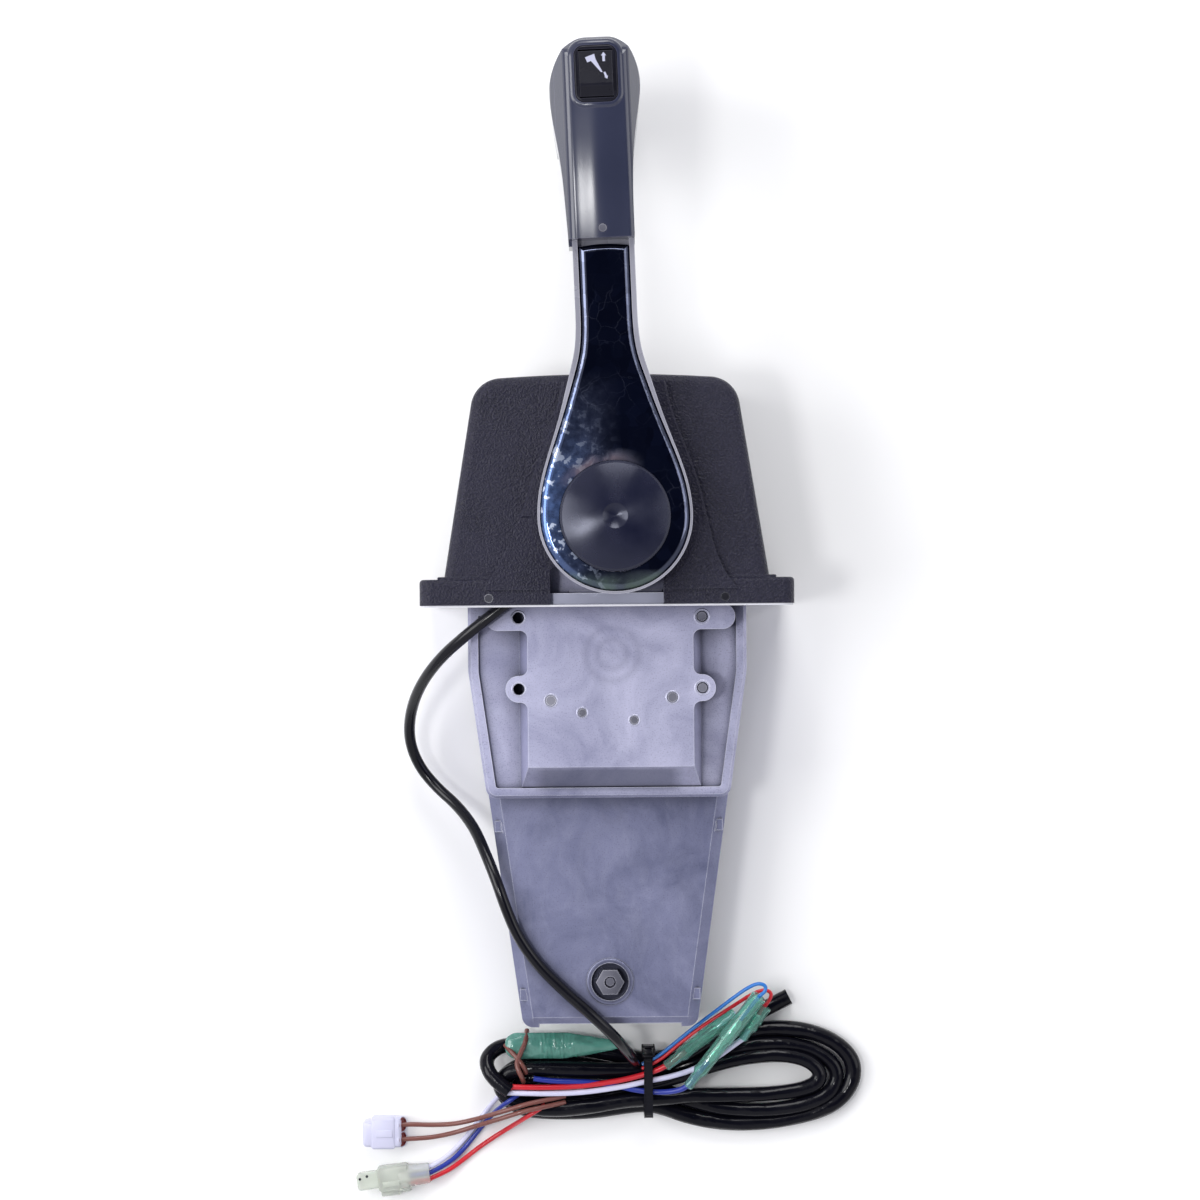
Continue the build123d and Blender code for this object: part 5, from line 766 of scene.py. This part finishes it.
work = bmesh.new()
rings = []
for step, (spot, out) in enumerate(strap_line()):
    deep = TOOTH if step % 2 else GAP
    half = [(TIE_HALF, -TIE_THICK), (TIE_HALF, 0), (TIE_HALF - 0.6, 0), (TIE_HALF - 0.8, -deep)]
    profile = [(-x, up) for x, up in half] + half[::-1]
    rings.append([work.verts.new((TIE_X + x, spot[0] + out[0] * up, spot[1] + out[1] * up))
                  for x, up in profile])
join_rings(work, rings + rings[:1])
for x in (TIE_X - HEAD_HALF, TIE_X + HEAD_HALF - HEAD_WALL):
    box(work, (x, HEAD_Y[0], HEAD_Z[0]), (x + HEAD_WALL, HEAD_Y[1], HEAD_Z[1]), 0.35)
for y in (HEAD_Y[0], HEAD_Y[1] - HEAD_WALL):
    box(work, (TIE_X - HEAD_HALF, y, HEAD_Z[0]), (TIE_X + HEAD_HALF, y + HEAD_WALL, HEAD_Z[1]), 0.35)
# The pawl in the window, and the strap's end that comes out of it
for half, y, z, corner in ((2.2, (1.0, 2.6), (1.0, -0.8), 0.4), (2.1, (2.7, 4.7), (0.0, 1.4), 0.25)):
    box(work, (TIE_X - half, HEAD_Y[0] + y[0], HEAD_Z[0] + z[0]),
        (TIE_X + half, HEAD_Y[0] + y[1], HEAD_Z[1] + z[1]), corner)
tie = draw("cable_tie_piece", work, "tie_nylon")
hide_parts("cable_tie")
print("tie faces", len(tie.data.polygons))

# %% [markdown]
# ## White connector
# A two-way housing: a narrower nose that the mating half slides over, a full-width middle with a
# latch, and two round collars that hold the rubber seals. Boxes with rounded edges make the
# housing, and turned rings make the collars.

# %% White connector
SEAL_STARTS = (Vector((-118.6, -284.1, -45.9)), Vector((-118.6, -292.1, -45.9)))
SEAL_AIM = Vector((1.0, 0.0, 0.55))  # the collars look a little upwards
work = bmesh.new()
for start in SEAL_STARTS:
    lathe(work, [(4.2, 0), (4.5, 0.8), (4.5, 4.6), (4.35, 5.0), (4.1, 5.0), (3.9, 4.4), (3.9, 0),
                 (4.2, 0)], start, start + SEAL_AIM)
box(work, (-136.0, -296.0, -49.0), (-126.0, -281.2, -40.0), 2.2)
box(work, (-131.4, -297.0, -50.0), (-118.0, -279.6, -39.2), 1.6)
box(work, (-121.0, -296.2, -50.0), (-114.8, -280.0, -40.0), 2.0)
box(work, (-128.5, -290.4, -39.6), (-119.5, -286.2, -38.7), 0.4)
plug = draw("white_connector_piece", work, "white_plug")
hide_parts("white_connector")

work = bmesh.new()
for start in SEAL_STARTS:
    lathe(work, [(1.25, 2.6), (1.3, 5.2), (1.9, 5.4), (2.5, 4.7), (3.0, 4.7), (3.4, 5.3), (3.85, 4.9),
                 (3.85, 1.0), (3.4, 0.6), (1.25, 0.6), (1.25, 2.6)], start, start + SEAL_AIM)
seals = draw("connector_seals_piece", work, "seal_red")
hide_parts("connector_seals")
print("plug faces", len(plug.data.polygons))

# %% [markdown]
# ## Clear connector
# A three-way housing of milky plastic: a square nose with two blind holes, whose shade is painted
# as black discs, a middle with the latch's stub and a round barrel that the wires enter. The wires'
# ends show through it, so they are short coloured rods inside. The whole lies a little turned on the
# floor.

# %% Clear connector
CLEAR_PLACE = (-119.5, -312.5)
CLEAR_TURN = 7.0  # degrees
BARREL = Vector((0, -0.5, 6.3))  # on the axis of the round barrel
HOLES = ((-18.0, 1.6), (-14.0, 2.6))
HOLE_Z = 10.1


def turned(work):
    """Turns a drawing about the connector's middle and sets it on the floor."""
    swing = Matrix.Rotation(radians(CLEAR_TURN), 3, "Z")
    bmesh.ops.rotate(work, verts=work.verts, cent=(0, 0, 0), matrix=swing)
    bmesh.ops.translate(work, verts=work.verts, vec=(*CLEAR_PLACE, FLOOR))


work = bmesh.new()
lathe(work, [(5.6, 3), (6.2, 4), (6.1, 9), (5.6, 17), (5.5, 19.4), (5.1, 20), (4.6, 20)],
      BARREL, BARREL + Vector((10, 0, 0)))
box(work, (-8.5, -6.9, 0.0), (8.6, 6.2, 11.6), 1.6)
box(work, (-20.0, -5.0, 0.2), (-6.5, 4.1, 10.4), 1.8)
box(work, (-7.6, -9.0, 1.6), (9.0, -5.0, 8.4), 0.9)
box(work, (-7.6, -10.2, 2.4), (3.0, -7.0, 7.4), 0.7)
box(work, (-6.0, -4.6, 10.6), (3.6, -1.4, 12.3), 0.5)
turned(work)
clear = draw("clear_connector_piece", work, "clear_plug")
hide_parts("clear_connector")

# Black discs in the blind holes: painted shade
work = bmesh.new()
for x, y in HOLES:
    lathe(work, [(0.75, 0), (0.75, 0.5)], (x, y, HOLE_Z), (x, y, HOLE_Z + 1))
turned(work)
draw("hole_shade_discs", work, "black_plastic")

for y, finish in ((2.6, "white_wire"), (-0.6, "blue_wire"), (-3.8, "red_wire")):
    work = bmesh.new()
    lathe(work, [(WIRE_RADIUS, 0), (WIRE_RADIUS, 11.5)], (9.2, y, 6.0), (20.7, y, 6.0), 16)
    turned(work)
    draw("wire_end_" + finish, work, finish)
print("connector faces", len(clear.data.polygons))

# %% [markdown]
# ## Green sleeves
# Soft clear green sleeves cover the bullet joints between the leads and the fine wires. Each is
# two thin tubes, one pushed over the other, with a lip at each mouth. They are hollow and let
# the light through, so the bullets and the wires' ends are turned pieces inside them.

# %% Green sleeves
SLEEVES = (
    ((29.9, -250.8, -27), (67.6, -222.2, -25), "red_wire", "white_wire"),
    ((41.7, -261.6, -25), (80.1, -211.4, -13.5), "blue_wire", "sky_wire"),
    ((71.4, -236.2, -26), (83.3, -217.9, -24.5), "white_wire", "red_wire"),
)
SLEEVE_WALL = 0.7
# Radius, and distance as a share of the sleeve's length
BULLET = ((1.0, 0.28), (2.0, 0.3), (2.0, 0.4), (1.5, 0.42), (1.5, 0.5), (2.4, 0.52), (2.4, 0.7),
          (1.4, 0.74))


def sleeve_profile(long):
    """Outer and inner line of two telescoped tubes of a given length together."""
    neck = min(9.0, long * 0.25)
    joint = long * 0.52
    outer = [(2.5, 0), (2.9, 0.8), (2.7, 1.6), (2.8, neck), (3.9, neck + 1.8), (4.1, neck + 3.2),
             (3.8, neck + 3.8), (3.75, joint), (4.4, joint + 0.4), (4.4, joint + 2.2), (4.15, joint + 2.8),
             (4.2, long - 2.4), (4.4, long - 2.0), (4.35, long - 0.4), (4.0, long)]
    inner = [(radius - SLEEVE_WALL, along) for radius, along in reversed(outer)]
    return outer + inner + outer[:1]


sleeves = []
for start, end, near, far in SLEEVES:
    long = (Vector(end) - Vector(start)).length
    work = bmesh.new()
    lathe(work, sleeve_profile(long), start, end, 36)
    sleeves.append(draw(f"green_sleeve_{len(sleeves)}", work, "green_sleeve"))
    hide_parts("green_sleeves")
    parts = ((near, [(1.5, -0.5), (1.5, long * 0.3)]),
             ("tin_bullet", [(radius, long * share) for radius, share in BULLET]),
             (far, [(1.1, long * 0.72), (1.1, long + 0.5)]))
    for finish, profile in parts:
        work = bmesh.new()
        lathe(work, profile, start, end, 20)
        draw(f"joint_{near}_{far}_{finish}", work, finish)
print("sleeves", len(sleeves))

# %% [markdown]
# ## Green tube
# A flattened sleeve of the same film lies on the left loop with one pointed end. Film like this
# creases, so the tube is a loft of flat ovals whose skin is pushed in and out by a fixed noise,
# with a row of sharper wrinkles near its middle.

# %% Green tube
TUBE_ENDS = (-58.0, 8.0)
TUBE_Y = -240.6
TUBE_Z = -37.4
TUBE_HALF = 7.2
TUBE_FLAT = 0.4  # height as a share of the width
TUBE_SLICES = 110
TUBE_SIDES = 40
ROUND_END, POINTED_END = 7.0, 34.0  # lengths over which the tube reaches its full width
WRINKLES = (-32.0, 14.0)  # middle and reach of the sharp wrinkles along the tube


def tube_half_width(x):
    """Half-width of the flattened tube: round at the left, pointed at the right."""
    left = max(0.0, min(1.0, (x - TUBE_ENDS[0]) / ROUND_END))
    right = max(0.0, min(1.0, (TUBE_ENDS[1] - x) / POINTED_END))
    return TUBE_HALF * (1 - (1 - left) ** 2) ** 0.5 * right ** 0.62


work = bmesh.new()
rings = []
for index in range(1, TUBE_SLICES):
    x = TUBE_ENDS[0] + (TUBE_ENDS[1] - TUBE_ENDS[0]) * index / TUBE_SLICES
    half = tube_half_width(x)
    tall = 0.5 + TUBE_FLAT * half
    sharp = exp(-((x - WRINKLES[0]) / WRINKLES[1]) ** 2)
    ring = []
    for side in range(TUBE_SIDES):
        turn = 2 * pi * side / TUBE_SIDES
        y = half * cos(turn)
        z = tall * sin(turn) * abs(sin(turn)) ** 0.3
        crease = noise.noise(Vector((x * 0.16, y * 0.35, z * 0.2)))
        ridge = noise.noise(Vector((x * 1.1, y * 0.25, 7.0))) * sharp
        lift = (0.9 * crease + 0.55 * ridge) * half / TUBE_HALF
        ring.append(work.verts.new((x, TUBE_Y + y + 0.4 * crease, TUBE_Z + z + lift)))
    rings.append(ring)
join_rings(work, rings)
work.faces.new(rings[0])
work.faces.new(rings[-1])
tube = draw("green_tube_piece", work, "green_film")
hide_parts("green_tube")
print("tube", round(TUBE_ENDS[1] - TUBE_ENDS[0]), "mm long")

# %% [markdown]
# ## Wire twist
# A short piece of brown wire is twisted round the tube's left end and tucked under the sheath.
# It is stiff and short, so it is two bent rods, each turned from a curve into a mesh.

# %% Wire twist
TWIST_RADIUS = 1.35
TWISTS = (
    ((-45.6, -232.6, -41), (-45.8, -235.5, -36), (-46.6, -239, -33.6), (-49.6, -245, -31.6),
     (-51.2, -249, -30.2), (-50, -253, -28.9), (-48.2, -256.5, -29.2), (-47.4, -259.5, -33)),
    ((-57.4, -240, -37.5), (-54.8, -242.6, -34.2), (-51, -246, -31.8), (-48.6, -249.2, -30.6),
     (-46.8, -252, -30.8), (-46, -254.6, -33)),
)
for index, route in enumerate(TWISTS):
    rod = cord_curve(f"rod_{index}", route, TWIST_RADIUS, "brown_wire")
    solid = bpy.data.meshes.new_from_object(rod)
    solid.materials.clear()
    bpy.data.objects.remove(rod)
    place(f"wire_twist_{index}", solid, "brown_wire")
print("twists", len(TWISTS))

# %% [markdown]
# ## Marks on the casting
# Each dowel pin, stud and screw hole in the plate sits in a ring that was pressed up when it was
# made. The rings are low turned shapes let into the surface, so the light catches them.

# %% Marks on the casting
PLATE_FACE = 30.0
RING_RISE = 0.28
PIN_RINGS = ((-29.7, -50.1, 3.4), (-13.3, -56.5, 2.8), (13.8, -60.6, 2.8), (33.9, -48.8, 3.3),
             (49.6, -6.7, 3.9), (49.6, -44.0, 3.9), (-46.4, -6.7, 3.6), (-46.4, -44.0, 3.6))
work = bmesh.new()
for x, y, radius in PIN_RINGS:
    profile = [(radius - 0.4, -0.3), (radius - 0.35, RING_RISE * 0.8), (radius, RING_RISE),
               (radius + 0.6, -0.1), (radius - 0.4, -0.3)]
    lathe(work, profile, (x, y, PLATE_FACE), (x, y, PLATE_FACE + 1), 40)
draw("casting_marks", work, "raw_casting")
print("marks", len(PIN_RINGS))

# %% [markdown]
# ## Mark on the rocker
# The rocker tilts the drive up or down, so it carries a plain wedge between two arrows. They are
# thin inlays that follow the slope of the rocker's face, and they ride with it.

# %% Mark on the rocker
HUB = Vector((4.5, 45.0))
LEAN = 2.0  # degrees that the lever leans at rest
SWITCH_U = 224.0  # from the hub to the rocker's middle, along the lever
RIDGE_U, RIDGE_Z = 218.7, 80.4  # where the rocker's face is highest
FACE_END_U, FACE_END_Z = 236.0, 77.8
FACE_SLOPE = (RIDGE_Z - FACE_END_Z) / (FACE_END_U - RIDGE_U)
INLAY_LEVELS = (-0.1, 0.06)  # of the thin plate, from the rocker's face
WEDGE = ((-5.2, 8.2), (-0.5, 9.8), (0.1, 7.0), (3.4, 0.2), (2.5, 0.2), (-2.3, 6.2), (-4.2, 5.5))
ARROW = ((0.0, 2.4), (1.35, 0.6), (0.65, 0.6), (0.65, -2.4), (-0.65, -2.4), (-0.65, 0.6), (-1.35, 0.6))


def inlay(work, outline, across, up, turn=0.0, size=1.0):
    """Adds a thin plate on the rocker's sloping face."""
    swing = Matrix.Rotation(radians(turn), 2)
    lean = Matrix.Rotation(radians(LEAN), 2)
    layers = []
    for rise in INLAY_LEVELS:
        layer = []
        for point in outline:
            x, u = swing @ (Vector(point) * size) + Vector((across, SWITCH_U + up))
            flat = HUB + lean @ Vector((x, u))
            layer.append(work.verts.new((*flat, RIDGE_Z - (u - RIDGE_U) * FACE_SLOPE + rise)))
        layers.append(layer)
    work.faces.new(layers[1])
    join_rings(work, layers)


work = bmesh.new()
inlay(work, WEDGE, 0.0, 0.0)
inlay(work, ARROW, 4.2, 8.2)
inlay(work, ARROW, 4.9, -1.6, 200.0, 0.8)
draw("rocker_mark", work, "pale_mark", "rocker")
print("marks on the rocker", 3)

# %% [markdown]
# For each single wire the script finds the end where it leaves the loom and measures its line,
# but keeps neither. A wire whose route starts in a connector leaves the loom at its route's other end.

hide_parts("harness_hank")
PLUGS_LEFT_OF = -90.0  # a route that starts left of this starts in a connector
for name, (radius, _, route) in WIRES.items():
    start = route[-1] if route[0][0] < PLUGS_LEFT_OF else route[0]
    cord_length(wires[name])
print("cords", len(WIRES) + 2)

# %% [markdown]
# ## Floor and light
# A wide pale floor catches the shadow. Far from the part it turns into plain white for the
# camera, as the sky does, so no horizon shows. A large soft lamp at the left is the strongest,
# with a weaker one beyond the grip, a faint one at the right and a small one high up for the
# glints. The sky lights the part from all round, and is dark only above and a little to the
# right, where the polished trim looks into the room's dark.

# %% Floor and light
FADE = (0.35, 0.8)  # distances in metres over which the floor turns white
FLOOR_HALF = 4.0
floor_mesh = bpy.data.meshes.new("floor")
plate = bmesh.new()
bmesh.ops.create_grid(plate, x_segments=8, y_segments=8, size=FLOOR_HALF)
bmesh.ops.translate(plate, verts=plate.verts, vec=(0.0, 0.0, (FLOOR - 0.2) * MM))
plate.to_mesh(floor_mesh)
plate.free()
floor = put("floor", floor_mesh)
floor_material, tree, shader = new_material("floor")
pale = mix(tree, add(tree, "TexNoise", {"Scale": 3.0}).outputs["Fac"], (0.94, 0.94, 0.94),
           (0.97, 0.97, 0.97))
fill(tree, shader, {"Base Color": pale, "Roughness": 0.9, "Specular IOR Level": 0.0})
far = spread(tree, measure(tree, "LENGTH", here(tree)), 0.0, 1.0, *FADE)
fade = times(tree, far, add(tree, "LightPath").outputs["Is Camera Ray"])
white = add(tree, "Emission", {"Color": (1.0, 1.0, 1.0, 1.0), "Strength": 1.0})
both = add(tree, "MixShader", {0: fade, 1: shader.outputs[0], 2: white.outputs[0]})
tree.links.new(both.outputs[0], tree.nodes["Material Output"].inputs["Surface"])
floor_mesh.materials.append(floor_material)

AIM = Vector((0, -0.05, 0))  # near the part's middle


def lamp(name, spot, size, power):
    """Square soft lamp that faces the part's middle."""
    data = bpy.data.lights.new(name, "AREA")
    data.size = size
    data.energy = power
    light = put(name, data)
    light.location = spot
    light.rotation_euler = (AIM - Vector(spot)).to_track_quat("-Z", "Y").to_euler()


lamp("left_lamp", (-1.5, 0.1, 1.3), 1.2, 22.0)
lamp("right_lamp", (1.6, 0.2, 1.2), 1.2, 7.0)
lamp("far_lamp", (0.1, 1.6, 1.2), 1.0, 18.0)
lamp("glint_lamp", (-0.55, -0.1, 1.7), 0.22, 5.8)

DARK_WAY = Vector((0.3, 0.12, 0.95)).normalized()  # where the room is dark
DARK_CONE = (0.8, 0.94)  # cosines between which the sky goes from pale to dark
SKY_STRENGTH = 0.66
world = bpy.data.worlds.new("studio")
bpy.context.scene.world = world
world.use_nodes = True
sky = world.node_tree
way = add(sky, "TexCoord").outputs["Generated"]
steep = spread(sky, measure(sky, "DOT_PRODUCT", way, DARK_WAY), 0.0, 1.0, *DARK_CONE)
tone = mix(sky, steep, (0.95, 0.95, 1.0), (0.035, 0.045, 0.095))
looked_at = add(sky, "LightPath").outputs["Is Camera Ray"]
seen = mix(sky, looked_at, tone, (1.0 / SKY_STRENGTH,) * 3)
fill(sky, sky.nodes["Background"], {"Color": seen, "Strength": SKY_STRENGTH})
bpy.context.scene.view_settings.view_transform = "Standard"
print("lamps", len(bpy.data.lights))
